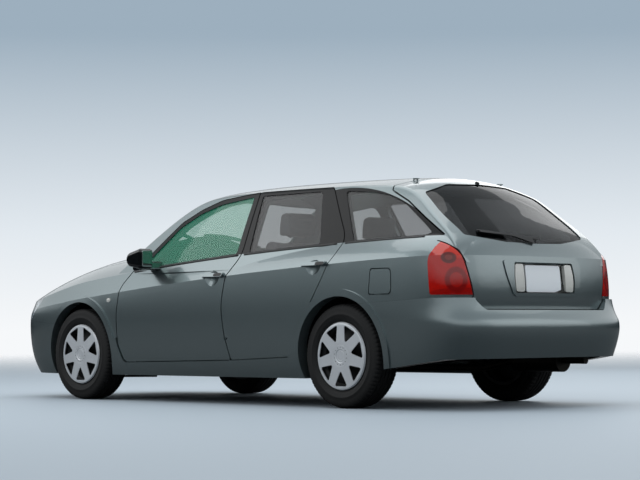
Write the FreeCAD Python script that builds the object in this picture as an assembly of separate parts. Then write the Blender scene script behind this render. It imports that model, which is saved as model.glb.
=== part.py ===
"""Station wagon, built as an assembly of separate panels, glass, wheels and running gear.

Frame: +X forward, +Y to the car's left, +Z up. The origin is on the ground, under the middle
of the car's length and width. Lengths are in millimetres.
"""
import FreeCAD
import Part
import math
import os

Vector = FreeCAD.Vector

# Driving dimensions of the whole car
wheelbase = 2680.0
front_overhang = 970.0
rear_overhang = 1025.0
overall_width = 1760.0
overall_height = 1480.0
track = 1515.0
tyre_radius = 326.0
tyre_width = 205.0

# Walls, gaps and fits
side_wall = 66.0
cabin_wall = 34.0
moving_gap = 6.0
fixed_gap = 0.6
seat_gap = 0.4
cut_overrun = 60.0
glass_thickness = 5.0
glass_depth = 5.0
jamb_gap = 22.0
jamb_wall = 26.0
jamb_reach = 22.0
jamb_seat = 44.0
rail_radius = 30.0
frame_base_share = 0.76
frame_top_share = 0.90
frame_step_depth = 14.0
frame_step = 9.0
arch_clearance = 46.0
bonnet_wall = 24.0
lip_width = 44.0
sill_height = 182.0

lip_rise = 12.0
lens_depth = 60.0
flap_skin = 3.0
flap_pocket = 46.0
garnish_rise = 7.0
sill_top_share = 0.30
grip_rise = 27.0
grip_thickness = 13.0
grip_root = 12.0
grip_end = 34.0
grip_corner = 11.0
cup_radius = 58.0
cup_depth = 15.0
blade_height = 13.0
blade_width = 15.0
arm_end_width = 11.0
wiper_pivot_radius = 20.0
well_depth = 20.0
plate_thickness = 9.0
grille_bar = 11.0
grille_pitch = 30.0
grille_set = 16.0

# Hinges
hinge_shares = (0.31, 0.473)
hinge_reach = 90.0
flap_bridge = 9.0
tailgate_hinge_y = 400.0
tailgate_hinge_reach = 50.0
tailgate_hinge_share = 0.75
bonnet_hinge_y = 560.0
bonnet_hinge_reach = 110.0
tray_height = 880.0
tray_length = 190.0
hinge_pin_radius = 4.0
hinge_fit = 0.05
hinge_barrel_radius = 6.5
hinge_barrel_length = 36.0
hinge_arm = 6.0
hinge_gap = 0.4
hinge_clear = 5.5
hinge_skin_gap = 1.0
hinge_back = 22.0
swing_gap = 6.0
cowl_gap = 67.0
roof_edge_reach = 32.0
flap_hinge_share = 0.36

# Wheels
rim_radius = 203.0
rim_width = 165.0
rim_sheet = 6.0
flange_rise = 14.0
tyre_wall = 11.0
tread_wall = 20.0
hub_disc_offset = 44.0
hub_bore_radius = 14.0
hub_boss_radius = 34.0
hub_boss_length = 62.0
cover_radius = 212.0
cover_sheet = 5.0
cover_dome = 13.0
cover_spokes = 7
cover_window_outer = 196.0
cover_window_inner = 88.0
cover_window_spread_share = 0.33
cover_cap_radius = 46.0
axle_fit = 0.05

# Running gear
ball_y = 640.0
strut_top_y = 545.0
ball_radius = 18.0
ball_share = 0.6
ball_sink = 4.0
upright_width = 48.0
clamp_height = 452.0
steer_arm_length = 110.0
spring_length = 160.0
ball_height = 190.0
strut_top_height = 860.0
upright_thickness = 26.0
strut_radius = 27.0
spring_radius = 62.0
spring_wire = 12.0
spring_turns = 4
liner_gap = 34.0
liner_sheet = 3.0
liner_inner_y = 455.0
rear_liner_inner_y = 575.0
beam_radius = 38.0
arm_depth = 46.0
arm_width = 40.0
subframe_depth = 60.0
subframe_length = 260.0
subframe_half = 400.0
trailing_length = 420.0
arm_y = 625.0
damper_radius = 24.0
beam_height = 304.0
beam_share = 0.45
eye_share = 0.75
hub_plate_share = 1.5

# Floor and cabin
jack_stations = (0.36, 0.765)
jack_y = 720.0
floor_tail_station = -0.80
dash_top_share = 0.645
dash_low_share = 0.36
wheel_reach = 430.0
driver_y = 370.0
steering_share = 0.62
wheel_rake = 24.0
column_length = 330.0
cushion_height = 290.0
bench_cushion_height = 190.0
cushion_depth = 500.0
seat_back_depth = 120.0
seat_back_height = 560.0
bench_back_height = 520.0
seat_lean = 20.0
seat_edge = 22.0
head_gap = 25.0
head_height = 150.0
head_width = 250.0
head_post = 6.0
front_hip_station = 0.43
rear_hip_station = 0.125
engine_length = 520.0
engine_width = 800.0
engine_height = 480.0
pipe_radius = 24.0
pipe_y = -480.0
pipe_run = 300.0
pipe_end = 160.0
pipe_bend = 90.0
silencer_radius = 55.0
silencer_length = 380.0
tank_gap = 40.0
tank_length = 360.0
tank_half = 560.0
mirror_station = 0.695
mirror_share = 0.664
mirror_y = 905.0
mirror_width = 120.0
mirror_height = 152.0
mirror_depth = 168.0
mirror_edge = 26.0
floor_height = 232.0
floor_sheet = 14.0
load_floor_height = 470.0
seat_floor_height = 366.0
tunnel_width = 240.0
tunnel_rise = 110.0
dash_depth = 330.0
seat_width = 500.0
seat_spread = 390.0
bench_width = 1130.0
wheel_ring_radius = 188.0
wheel_ring_section = 15.0

# Places that follow from the driving dimensions
overall_length = wheelbase + front_overhang + rear_overhang
half_length = overall_length / 2
half_width = overall_width / 2
front_axle_x = half_length - front_overhang
rear_axle_x = -half_length + rear_overhang
hub_height = tyre_radius
arch_radius = tyre_radius + arch_clearance
far = 2 * overall_length
front_hinge_x = rear_axle_x + 0.825 * wheelbase
front_hinge_y = half_width * 0.974
rear_hinge_x = rear_axle_x + 0.403 * wheelbase
rear_hinge_y = half_width * 0.98
flap_hinge_x = rear_axle_x - 0.276 * rear_overhang
flap_hinge_y = half_width * 0.971
flap_hinge_height_share = 0.53
tailgate_hinge_x = rear_axle_x - 0.215 * rear_overhang
tailgate_hinge_z = overall_height * 0.9726
bonnet_hinge_x = rear_axle_x + 0.8828 * wheelbase
bonnet_hinge_z = overall_height * 0.6665
nose_station = 1.64
tailgate_wrap_station = -0.70
nose_share = 0.45
nose_top_share = 0.53
bonnet_low_share = 0.40
roof_low_share = 0.80
cowl_rear_station = 0.79
cowl_front_station = 1.03
cowl_share = 0.68
header_rear_station = -0.245
header_front_station = -0.09
seat_step_x = rear_axle_x + 0.32 * wheelbase
load_step_x = rear_axle_x + 0.065 * wheelbase
engine_bottom = ball_height - ball_radius + subframe_depth + seat_gap
bulkhead_x = front_axle_x - arch_radius - liner_gap - floor_sheet


def along(station):
    """Place along the car: 0 is the rear axle, 1 the front axle, -1 the tail and 2 the nose."""
    if station > 1:
        return front_axle_x + (station - 1) * front_overhang
    if station < 0:
        return rear_axle_x + station * rear_overhang
    return rear_axle_x + station * wheelbase


def across(share):
    """Place across the car, as a share of its half width."""
    return share * half_width


def up(share):
    """Height over the ground, as a share of the car's height."""
    return share * overall_height


def sloping(x, shares):
    """Height of a line that rises along the car, through shares at the tail, middle and nose."""
    tail, middle, nose = shares
    t = (x + half_length) / overall_length
    bend = 2 * (tail + nose) - 4 * middle
    return up(tail + t * (nose - tail) + bend * (t * t - t))


def clamped(count, degree):
    """Knots and multiplicities of a clamped uniform spline with this many poles."""
    spans = count - degree
    knots = [float(k) for k in range(spans + 1)]
    mults = [degree + 1] + [1] * (spans - 1) + [degree + 1]
    return knots, mults


def net_surface(rows, row_degree=3, column_degree=3):
    """Surface on a net of poles: a list of rows, each a list of points."""
    surface = Part.BSplineSurface()
    row_knots, row_mults = clamped(len(rows), row_degree)
    column_knots, column_mults = clamped(len(rows[0]), column_degree)
    surface.buildFromPolesMultsKnots(rows, row_mults, column_mults, row_knots, column_knots,
                                     False, False, row_degree, column_degree)
    return surface


def box(x0, x1, y0, y1, z0, z1):
    """Axis-aligned block between two corners."""
    return Part.makeBox(x1 - x0, y1 - y0, z1 - z0, Vector(x0, y0, z0))


def mirrored(shape):
    """The same shape on the car's other side."""
    return shape.mirror(Vector(0, 0, 0), Vector(0, 1, 0))


# Body side, as a control net from the nose's middle round the left side to the tail's middle
plan_shares = [(2.0, 0.0), (2.0, 0.24), (1.985, 0.48), (1.925, 0.72), (1.77, 0.905), (1.47, 0.972),
               (1.0, 0.992), (0.78, 0.997), (0.55, 1.0), (0.35, 1.0), (0.15, 1.0), (-0.02, 0.998),
               (-0.30, 0.994), (-0.60, 0.985), (-0.84, 0.955), (-0.95, 0.81), (-1.0, 0.42), (-1.0, 0.0)]
crease_shares = (0.631, 0.564, 0.416)
belt_shares = (0.716, 0.6555, 0.495)
cap_share = 0.727
floor_share = 0.068
# Each row: height shares at tail, middle and nose, then inset shares at nose, tail and side
lower_row_shares = [((floor_share,) * 3, (0.16, 0.30, 0.105)),
                    ((0.118,) * 3, (0.10, 0.24, 0.062)),
                    ((0.19,) * 3, (0.025, 0.20, 0.026)),
                    ((0.30,) * 3, (-0.002, 0.16, 0.010)),
                    ((0.41, 0.40, 0.385), (-0.002, 0.085, 0.004)),
                    ((0.52, 0.49, 0.405), (0.010, 0.077, 0.006)),
                    (crease_shares, (0.022, 0.107, 0.014))]
upper_row_shares = [(crease_shares, (0.022, 0.107, 0.014)),
                    ((0.672, 0.610, 0.475), (0.045, 0.139, 0.050)),
                    ((0.712, 0.6555, 0.560), (0.090, 0.190, 0.094)),
                    ((cap_share,) * 3, (0.30, 0.230, 0.185))]


# Bonnet: stations and height shares along the middle, with the fall at its reach
hood_shares = [(2.12, 0.34), (2.02, 0.455), (1.87, 0.547), (1.66, 0.607), (1.44, 0.650), (1.22, 0.683),
               (0.98, 0.715), (0.70, 0.755), (0.30, 0.86), (-1.15, 1.30)]
hood_reach = 1000.0
hood_drop = 380.0

# Cabin top: station, height share, sweep share and crown share along the middle
roof_shares = [(1.60, 0.47, 0.70, 0.06), (1.235, 0.600, 0.70, 0.06), (0.955, 0.735, 0.70, 0.06),
               (0.807, 0.880, 0.70, 0.08), (0.655, 0.980, 0.45, 0.14), (0.475, 1.003, 0.0, 0.185),
               (0.27, 1.004, 0.0, 0.185), (0.06, 0.999, 0.0, 0.185), (-0.235, 0.990, -0.10, 0.185),
               (-0.407, 0.960, -0.08, 0.16), (-0.602, 0.8345, -0.07, 0.10), (-0.866, 0.699, -0.06, 0.05),
               (-0.90, 0.581, -0.06, 0.04), (-0.915, 0.405, -0.06, 0.04)]
screen_lean = 0.45
tail_lean = 0.75
roof_lean = 0.95

# Cabin sides: height shares with side shares, then the plan taper along the car
cabin_shares = [(0.541, 1.003), (0.777, 0.832), (1.014, 0.612)]
cabin_plan_shares = [(1.60, 0.80), (1.03, 0.89), (0.83, 0.955), (0.64, 0.995), (0.42, 1.008),
                     (0.19, 1.008), (0.0, 0.99), (-0.43, 0.94), (-0.82, 0.86), (-1.10, 0.79)]
cabin_base_share = 0.60

# Rear bumper: the lower rows again, with the bulge in their inset shares at the tail
bumper_row_shares = [((floor_share,) * 3, (0.16, 0.10, 0.105)),
                     ((0.118,) * 3, (0.10, 0.085, 0.062)),
                     ((0.19,) * 3, (0.025, 0.055, 0.026)),
                     ((0.30,) * 3, (-0.002, -0.008, 0.010)),
                     ((0.352,) * 3, (-0.002, -0.008, 0.007)),
                     ((0.372,) * 3, (-0.002, 0.004, 0.006)),
                     ((0.42, 0.40, 0.385), (-0.002, 0.060, 0.004)),
                     ((0.52, 0.49, 0.405), (0.010, 0.077, 0.006)),
                     (crease_shares, (0.022, 0.107, 0.014))]


def body_row(heights, insets, wall):
    """Poles of one row of the body side, drawn in by the wall thickness."""
    nose, tail, side = insets
    reach = {1: 1 - nose - wall / front_overhang, -1: 1 - tail - wall / rear_overhang}
    poles = []
    for station, share in plan_shares:
        x = along(station)
        height = sloping(x, heights)
        if station > 1:
            x = front_axle_x + (x - front_axle_x) * reach[1]
        elif station < 0:
            x = rear_axle_x + (x - rear_axle_x) * reach[-1]
        y = across(share) * (1 - side - wall / half_width)
        poles.append(Vector(x, y, height))
    return poles


def lower_body(wall, rows=None):
    """Left half of the body below the windows, as a closed solid."""
    lower = [body_row(h, i, wall) for h, i in (rows or lower_row_shares)]
    upper = [body_row(h, i, wall) for h, i in upper_row_shares]
    sides = [net_surface(lower).toShape(), net_surface(upper).toShape()]
    rims = []
    for surface, row in ((net_surface(lower), 0), (net_surface(upper), -1)):
        u0, u1, v0, v1 = surface.bounds()
        rims.append(surface.uIso(u0 if row == 0 else u1).toShape())
    caps = []
    for rim in rims:
        first, last = rim.Vertexes[0].Point, rim.Vertexes[-1].Point
        caps.append(Part.Face(Part.Wire([rim, Part.makeLine(last, first)])))
    middle_edges = []
    for surface in (net_surface(lower), net_surface(upper)):
        u0, u1, v0, v1 = surface.bounds()
        middle_edges.append([surface.vIso(v0).toShape(), surface.vIso(v1).toShape()])
    loop = [caps[0].Edges[-1], middle_edges[0][0], middle_edges[1][0], caps[1].Edges[-1],
            middle_edges[1][1], middle_edges[0][1]]
    middle = Part.Face(Part.Wire(Part.__sortEdges__(loop)))
    shell = Part.makeShell(sides + caps + [middle])
    shell.sewShape()
    solid = Part.makeSolid(shell if shell.ShapeType == "Shell" else shell.Shells[0])
    if solid.Volume < 0:
        solid.reverse()
    return solid




def hood_sheet(wall):
    """Surface over the bonnet and the front wings, from ahead of the nose to behind the windscreen."""
    rows = []
    for station, share in hood_shares:
        x = along(station)
        height = up(share) - wall
        rows.append([Vector(x, 0, height), Vector(x, hood_reach / 3, height),
                     Vector(x, 2 * hood_reach / 3, height), Vector(x, hood_reach, height - hood_drop)])
    return net_surface(rows)


def roof_sheet(wall):
    """Surface over the windscreen, roof and tailgate glass, with its sweep and crown across the car."""
    rows = []
    for station, share, sweep, crown in roof_shares:
        x, height = along(station), up(share) - wall * roof_lean
        if sweep > 0:
            x -= wall * screen_lean
        elif sweep < 0:
            x += wall * tail_lean
        back, down = sweep * half_width, crown * half_width
        y = half_width
        rows.append([Vector(x, 0, height), Vector(x, y / 3, height),
                     Vector(x - back / 3, 2 * y / 3, height - down / 3), Vector(x - back, y, height - down)])
    return net_surface(rows)


def glass_side_sheet(wall):
    """Surface of the side windows, leaning in towards the roof."""
    rows = []
    for height_share, side_share in cabin_shares:
        rows.append([Vector(along(station), across(side_share * plan) - wall, up(height_share))
                     for station, plan in cabin_plan_shares])
    return net_surface(rows, row_degree=2)


def below(surface):
    """Solid under a sheet."""
    return surface.toShape().extrude(Vector(0, 0, -far))


def inboard(surface):
    """Solid inboard of a sheet that faces the car's left."""
    return surface.toShape().extrude(Vector(0, -far, 0))


def cabin_block(wall, rounding=0.0):
    """Left half of the cabin above the body side, as a closed solid."""
    half = box(-half_length, half_length, 0, half_width, up(cabin_base_share), 2 * overall_height)
    solid = below(roof_sheet(wall)).common(inboard(glass_side_sheet(wall))).common(half)
    if rounding:
        rail = [e for e in solid.Edges if on_both(e, wall)]
        solid = solid.makeFillet(rounding, rail)
    return solid


def on_both(edge, wall):
    """Whether an edge is the rail where the roof sheet meets the side windows."""
    middle = edge.valueAt((edge.FirstParameter + edge.LastParameter) / 2)
    near = Part.Vertex(middle)
    roof = near.distToShape(roof_sheet(wall).toShape())[0]
    side = near.distToShape(glass_side_sheet(wall).toShape())[0]
    return roof < 0.1 and side < 0.1


# Corner radii of the outlines
crisp = 0.0
tight = 14.0
rounded = 26.0
soft = 50.0
wide = 160.0
broad = 420.0

# Outlines seen from the side: station, height share and corner radius
door_split_shares = [(0.387, 0.198, tight), (0.406, 0.311, wide), (0.417, 0.439, broad),
                     (0.402, 0.568, wide), (0.365, 0.666, wide), (0.383, 0.954, tight)]
front_door_shares = [(0.788, 0.632, tight), (0.827, 0.541, wide), (0.838, 0.405, broad),
                     (0.835, 0.27, wide), (0.811, 0.184, soft)] + door_split_shares + [
                     (0.52, 0.931, broad), (0.59, 0.891, wide), (0.654, 0.834, wide), (0.736, 0.699, wide)]
rear_door_shares = door_split_shares + [(0.12, 0.951, soft), (0.01, 0.70, wide), (0.061, 0.541, wide),
                                        (0.161, 0.27, wide), (0.176, 0.214, tight)]
front_window_shares = [(0.764, 0.624, tight), (0.73, 0.676, soft), (0.65, 0.814, wide), (0.587, 0.872, wide),
                       (0.52, 0.909, broad), (0.40, 0.934, tight), (0.387, 0.674, tight)]
rear_window_shares = [(0.368, 0.936, tight), (0.154, 0.936, soft), (0.098, 0.6994, tight), (0.342, 0.678, tight)]
quarter_window_shares = [(0.074, 0.931, tight), (-0.066, 0.914, wide), (-0.193, 0.897, soft),
                         (-0.349, 0.853, wide), (-0.505, 0.78, wide), (-0.627, 0.719, tight),
                         (-0.022, 0.7075, tight)]
tailgate_side_shares = [(-0.183, 1.095, crisp), (-0.202, 0.919, tight), (-0.359, 0.868, wide),
                        (-0.524, 0.794, wide), (-0.705, 0.716, tight), (-1.256, 0.716, crisp),
                        (-1.256, 1.095, crisp)]
tail_lamp_shares = [(-0.731, 0.712, tight), (-0.698, 0.608, wide), (-0.717, 0.469, tight),
                    (-1.256, 0.469, crisp), (-1.256, 0.712, crisp)]
rear_bumper_shares = [(-0.085, 0.432, crisp), (-0.272, 0.443, tight), (-0.743, 0.457, tight),
                      (-1.256, 0.457, crisp), (-1.256, 0.068, crisp), (-0.085, 0.068, crisp)]
rear_hem_shares = [(-0.085, 0.60, crisp), (-1.256, 0.60, crisp), (-1.256, 0.215, crisp), (-0.80, 0.208, wide),
                   (-0.36, 0.168, wide), (-0.085, 0.155, crisp)]
front_bumper_shares = [(0.975, 0.351, crisp), (1.363, 0.368, tight), (1.714, 0.387, tight),
                       (2.168, 0.338, crisp), (2.168, 0.068, crisp), (0.975, 0.068, crisp)]
head_lamp_side_shares = [(1.508, 0.524, tight), (1.714, 0.391, tight), (2.168, 0.338, crisp),
                         (2.168, 0.527, crisp)]
flap_shares = [(-0.251, 0.476, tight), (-0.435, 0.476, rounded), (-0.429, 0.582, rounded), (-0.264, 0.582, tight)]

# Outlines seen from behind or ahead: share across, height share and corner radius
tailgate_back_shares = [(-0.114, 0.410, crisp), (0.645, 0.410, soft), (0.706, 0.450, tight),
                        (0.698, 0.470, tight), (0.723, 0.534, broad), (0.750, 0.609, wide), (0.784, 0.664, wide),
                        (0.860, 0.701, soft), (0.977, 0.718, crisp), (0.977, 0.811, crisp), (-0.114, 0.811, crisp)]
head_lamp_front_shares = [(0.455, 0.341, tight), (0.455, 0.436, tight), (0.795, 0.51, soft),
                          (1.023, 0.52, crisp), (1.023, 0.389, crisp), (0.818, 0.372, wide)]
grille_shares = [(-0.114, 0.338, crisp), (0.426, 0.341, tight), (0.426, 0.429, tight), (-0.114, 0.449, crisp)]

# Outlines seen from above: station, share across and corner radius
screen_shares = [(0.934, -0.1, crisp), (0.934, 0.0, crisp), (0.904, 0.375, broad), (0.803, 0.744, tight), (0.59, 0.585, tight),
                 (0.639, 0.341, broad), (0.654, 0.0, crisp), (0.654, -0.1, crisp)]
bonnet_shares = [(0.969, -0.1, crisp), (0.969, 0.0, crisp), (0.945, 0.375, broad), (0.87, 0.682, soft), (1.24, 0.699, broad),
                 (1.601, 0.642, wide), (1.755, 0.50, soft), (1.817, 0.0, crisp),
                 (1.817, -0.1, crisp)]
roof_plan_shares = [(0.645, -0.1, crisp), (0.645, 0.0, crisp), (0.63, 0.341, broad), (0.581, 0.585, tight), (0.303, 0.602, broad),
                    (-0.183, 0.557, tight), (-0.212, 0.227, broad), (-0.217, 0.0, crisp), (-0.217, -0.1, crisp)]


def side_view(rows):
    """Points of an outline seen from the side."""
    return [(along(station), up(share), radius) for station, share, radius in rows]


def back_view(rows):
    """Points of an outline seen from behind."""
    return [(across(share), up(height), radius) for share, height, radius in rows]


def plan_view(rows):
    """Points of an outline seen from above."""
    return [(along(station), across(share), radius) for station, share, radius in rows]


def grown_corners(points, grow):
    """Corners of a closed outline moved outwards, each with its radius and the turn of its edges."""
    flat = [Vector(a, b, 0) for a, b, _ in points]
    radii = [r for _, _, r in points]
    area = sum(flat[i - 1].x * flat[i].y - flat[i].x * flat[i - 1].y for i in range(len(flat)))
    if area < 0:
        flat.reverse()
        radii.reverse()
    corners = []
    for i, point in enumerate(flat):
        before = (point - flat[i - 1]).normalize()
        after = (flat[(i + 1) % len(flat)] - point).normalize()
        turn = math.atan2(before.cross(after).z, before.dot(after))
        out = Vector(before.y + after.y, -before.x - after.x, 0)
        place = point + out * (grow / (1 + before.dot(after)))
        radius = max(radii[i] + math.copysign(grow, turn), 0) if radii[i] else 0.0
        corners.append((place, before, after, turn, radius))
    return corners


def rounded_face(points, grow=0.0):
    """Flat face inside an outline with rounded corners, grown outwards."""
    corners = grown_corners(points, grow)
    count = len(corners)
    places = [c[0] for c in corners]
    stretches = []
    for i, (place, before, after, turn, radius) in enumerate(corners):
        room = min((place - places[i - 1]).Length, (places[(i + 1) % count] - place).Length) / 2
        tangent = min(radius * math.tan(abs(turn) / 2), room * 0.98)
        if tangent <= 0 or abs(turn) < 0.01:
            stretches.append((place, place, None))
            continue
        radius = tangent / math.tan(abs(turn) / 2)
        inward = (after - before).normalize()
        middle = place + inward * (radius / math.cos(turn / 2) - radius)
        stretches.append((place - before * tangent, place + after * tangent, middle))
    edges = []
    for i, (start, end, middle) in enumerate(stretches):
        if middle is not None:
            edges.append(Part.Arc(start, middle, end).toShape())
        follow = stretches[(i + 1) % count][0]
        if (follow - end).Length > 1e-6:
            edges.append(Part.makeLine(end, follow))
    return Part.Face(Part.Wire(edges))


def prism(points, view, low, high, grow=0.0):
    """Solid behind an outline, between two depths along the direction of the view."""
    face = rounded_face(points, grow)
    if view == "side":
        face.rotate(Vector(0, 0, 0), Vector(1, 0, 0), 90)
        along_view = Vector(0, 1, 0)
    elif view == "back":
        face.rotate(Vector(0, 0, 0), Vector(1, 1, 1), 120)
        along_view = Vector(1, 0, 0)
    else:
        along_view = Vector(0, 0, 1)
    face.translate(along_view * low)
    return face.extrude(along_view * (high - low))


def side_prism(rows, grow=0.0):
    """Solid through the left side behind an outline seen from the side."""
    return prism(side_view(rows), "side", 0, half_width + cut_overrun, grow)


def cylinder_y(radius, x, z, y0, y1):
    """Cylinder across the car."""
    return Part.makeCylinder(radius, y1 - y0, Vector(x, y0, z), Vector(0, 1, 0))


def skin(wall, cabin, bonnet, rounding=0.0):
    """Left half of the whole body, drawn in by one wall below the windows and another above."""
    low = lower_body(wall).common(below(hood_sheet(bonnet)))
    return low.fuse(cabin_block(cabin, rounding))


def hinge(reach, front, scale=1.0):
    """Carrier with its pin, leaf with its barrel, and the pocket that they need, around local Z.

    The panel lies towards -X, its outer face towards +Y, and the carrier comes from -Y.
    """
    pin, barrel = hinge_pin_radius * scale, hinge_barrel_radius * scale
    half, arm, gap = hinge_barrel_length * scale / 2, hinge_arm * scale, hinge_gap
    clear, back = hinge_clear, hinge_back * scale
    tip = half + gap + arm
    carrier = Part.makeCylinder(pin, 2 * tip, Vector(0, 0, -tip))
    for low in (half + gap, -tip):
        eye = Part.makeCylinder(barrel, arm, Vector(0, 0, low))
        carrier = carrier.fuse([eye, box(-barrel, barrel, -reach, 0, low, low + arm)])
    leaf = Part.makeCylinder(barrel, 2 * half, Vector(0, 0, -half))
    leaf = leaf.fuse(box(-back - barrel, 0, -pin, pin, -half, half))
    leaf = leaf.cut(Part.makeCylinder(pin + hinge_fit, 4 * tip, Vector(0, 0, -2 * tip)))
    pocket = box(-back, front, -reach - far, barrel + hinge_skin_gap, -tip - clear, tip + clear)
    return carrier, leaf, pocket


def fit_hinge(panel, carrier_body, place, reach, front, scale=1.0):
    """Panel and body joined by a hinge at a place, given as a placement of its local axes."""
    carrier, leaf, pocket = hinge(reach, front, scale)
    for part in (carrier, leaf, pocket):
        part.Placement = place
    panel = panel.cut(pocket).fuse(leaf)
    return panel, carrier_body.fuse(carrier)


def arch_disc(x, grow=0.0):
    """Disc across the left side over a wheel arch."""
    return cylinder_y(arch_radius + grow, x, hub_height, 0, far)


def flare():
    """Raised lip round both wheel arches of the left side and along the sill between them."""
    region = box(rear_axle_x, front_axle_x, 0, far, sill_height, up(sill_top_share))
    for rows in (front_door_shares, rear_door_shares):
        region = region.cut(side_prism(rows, moving_gap / 2))
    region = region.fuse([arch_disc(x, lip_width) for x in (front_axle_x, rear_axle_x)])
    for x in (front_axle_x, rear_axle_x):
        region = region.cut(arch_disc(x))
    band = lower_body(-lip_rise).cut(lower_body(side_wall))
    return region.common(band)


def wiper(layer, view, pivot, tip, heel):
    """Blade between two ends with its arm from the pivot, in a layer that stands off the glass."""
    flat = [Vector(a, b, 0) for a, b in (pivot, tip, heel)]
    middle = (flat[1] + flat[2]) / 2
    outlines = []
    for start, end, start_width, end_width in ((flat[0], middle, 2 * wiper_pivot_radius, arm_end_width),
                                               (flat[1], flat[2], blade_width, blade_width)):
        side = (end - start).cross(Vector(0, 0, 1)).normalize()
        corners = [start + side * (start_width / 2), end + side * (end_width / 2),
                   end - side * (end_width / 2), start - side * (start_width / 2)]
        outlines.append([(c.x, c.y, blade_width / 4) for c in corners])
    low, high = (-far, along(-0.1)) if view == "back" else (up(cabin_base_share), far)
    shape = None
    for outline in outlines:
        bar = prism(outline, view, low, high).common(layer)
        shape = bar if shape is None else shape.fuse(bar)
    return shape


def whole(half, merge=True):
    """Full shape of a middle piece from its left half."""
    shape = half.fuse(mirrored(half))
    return shape.removeSplitter() if merge else shape


def pair(shape):
    """Left piece and its mirror image, as one compound."""
    return Part.makeCompound([shape, mirrored(shape)])


def solid_parts(shape, smallest=200.0):
    """Compound of the solids of a shape that are larger than slivers, given as cubic millimetres."""
    kept = [s for s in shape.Solids if s.Volume > smallest]
    return kept[0] if len(kept) == 1 else Part.makeCompound(kept)


# Further outlines
tailgate_glass_shares = [(-0.114, 0.685, crisp), (0.30, 0.690, broad), (0.645, 0.717, tight),
                         (0.655, 0.80, broad), (0.60, 0.905, soft), (0.32, 0.948, wide), (-0.114, 0.955, crisp)]
garnish_shares = [(-0.114, 0.464, crisp), (0.335, 0.464, soft), (0.40, 0.55, broad), (0.418, 0.613, tight),
                  (-0.114, 0.620, crisp)]
fender_shares = [(0.803, 0.0, crisp), (0.803, 0.60, crisp), (0.784, 0.635, crisp), (0.90, 0.716, crisp),
                 (2.30, 0.716, crisp), (2.30, 0.0, crisp)]
well_shares = [(-0.114, 0.478, crisp), (0.318, 0.478, tight), (0.332, 0.54, broad), (0.312, 0.605, tight),
               (-0.114, 0.605, crisp)]
plate_lamp_shares = [(0.222, 0.484, tight), (0.306, 0.484, tight), (0.318, 0.54, broad), (0.300, 0.598, tight),
                     (0.222, 0.598, tight)]
number_plate_shares = [(-0.114, 0.482, crisp), (0.1875, 0.482, tight), (0.1875, 0.5935, tight),
                       (-0.114, 0.5935, crisp)]
intake_shares = [(-0.114, 0.150, crisp), (0.46, 0.150, soft), (0.52, 0.235, soft), (-0.114, 0.250, crisp)]

# Door handles: stations of the bar's ends and its height share; wipers: pivot and blade ends
grip_shares = (("front", 0.497, 0.407, 0.5805), ("rear", 0.133, 0.042, 0.613))
wiper_rear_shares = ((0.02, 0.700), (0.50, 0.735), (-0.06, 0.710))
wiper_front_shares = (((0.893, 0.40), (0.815, 0.60), (0.902, 0.04)), ((0.908, -0.24), (0.886, -0.06), (0.85, -0.60)))


def revolved(points, axis=Vector(0, 1, 0)):
    """Solid turned from a closed outline of (y, radius) points round the Y axis."""
    wire = Part.makePolygon([Vector(0, y, r) for y, r in points + points[:1]])
    return Part.Face(wire).revolve(Vector(0, 0, 0), axis, 360)


def tyre():
    """Tyre with rounded shoulders and open inside, centred on the origin."""
    half, rim_half = tyre_width / 2, rim_width / 2
    seat = rim_radius + flange_rise + seat_gap
    outer = [Vector(0, -rim_half, rim_radius), Vector(0, -half, (rim_radius + tyre_radius) / 2),
             Vector(0, -half * 0.80, tyre_radius - tyre_wall * 0.55), Vector(0, -half * 0.45, tyre_radius),
             Vector(0, half * 0.45, tyre_radius), Vector(0, half * 0.80, tyre_radius - tyre_wall * 0.55),
             Vector(0, half, (rim_radius + tyre_radius) / 2), Vector(0, rim_half, rim_radius)]
    inner = [Vector(0, rim_half - tyre_wall, rim_radius),
             Vector(0, half - tyre_wall, (rim_radius + tyre_radius) / 2),
             Vector(0, half * 0.7, tyre_radius - tread_wall), Vector(0, -half * 0.7, tyre_radius - tread_wall),
             Vector(0, -half + tyre_wall, (rim_radius + tyre_radius) / 2),
             Vector(0, -rim_half + tyre_wall, rim_radius)]
    edges = [Part.makeLine(a, b) for a, b in ((outer[3], outer[4]), (outer[7], inner[0]), (inner[5], outer[0]),
                                              (inner[2], inner[3]))]
    for side, near in ((-1, outer[1]), (1, outer[6])):
        bead = Vector(0, side * rim_half, rim_radius)
        heel = Vector(0, side * rim_half, seat)
        edges += [Part.makeLine(bead, heel), Part.makeLine(heel, near)]
    edges += [Part.makeLine(outer[1], outer[2]), Part.makeLine(outer[2], outer[3]),
              Part.makeLine(outer[4], outer[5]), Part.makeLine(outer[5], outer[6]),
              Part.makeLine(inner[0], inner[1]), Part.makeLine(inner[1], inner[2]),
              Part.makeLine(inner[3], inner[4]), Part.makeLine(inner[4], inner[5])]
    wire = Part.Wire(Part.__sortEdges__(edges))
    return Part.Face(wire).revolve(Vector(0, 0, 0), Vector(0, 1, 0), 360)


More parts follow.
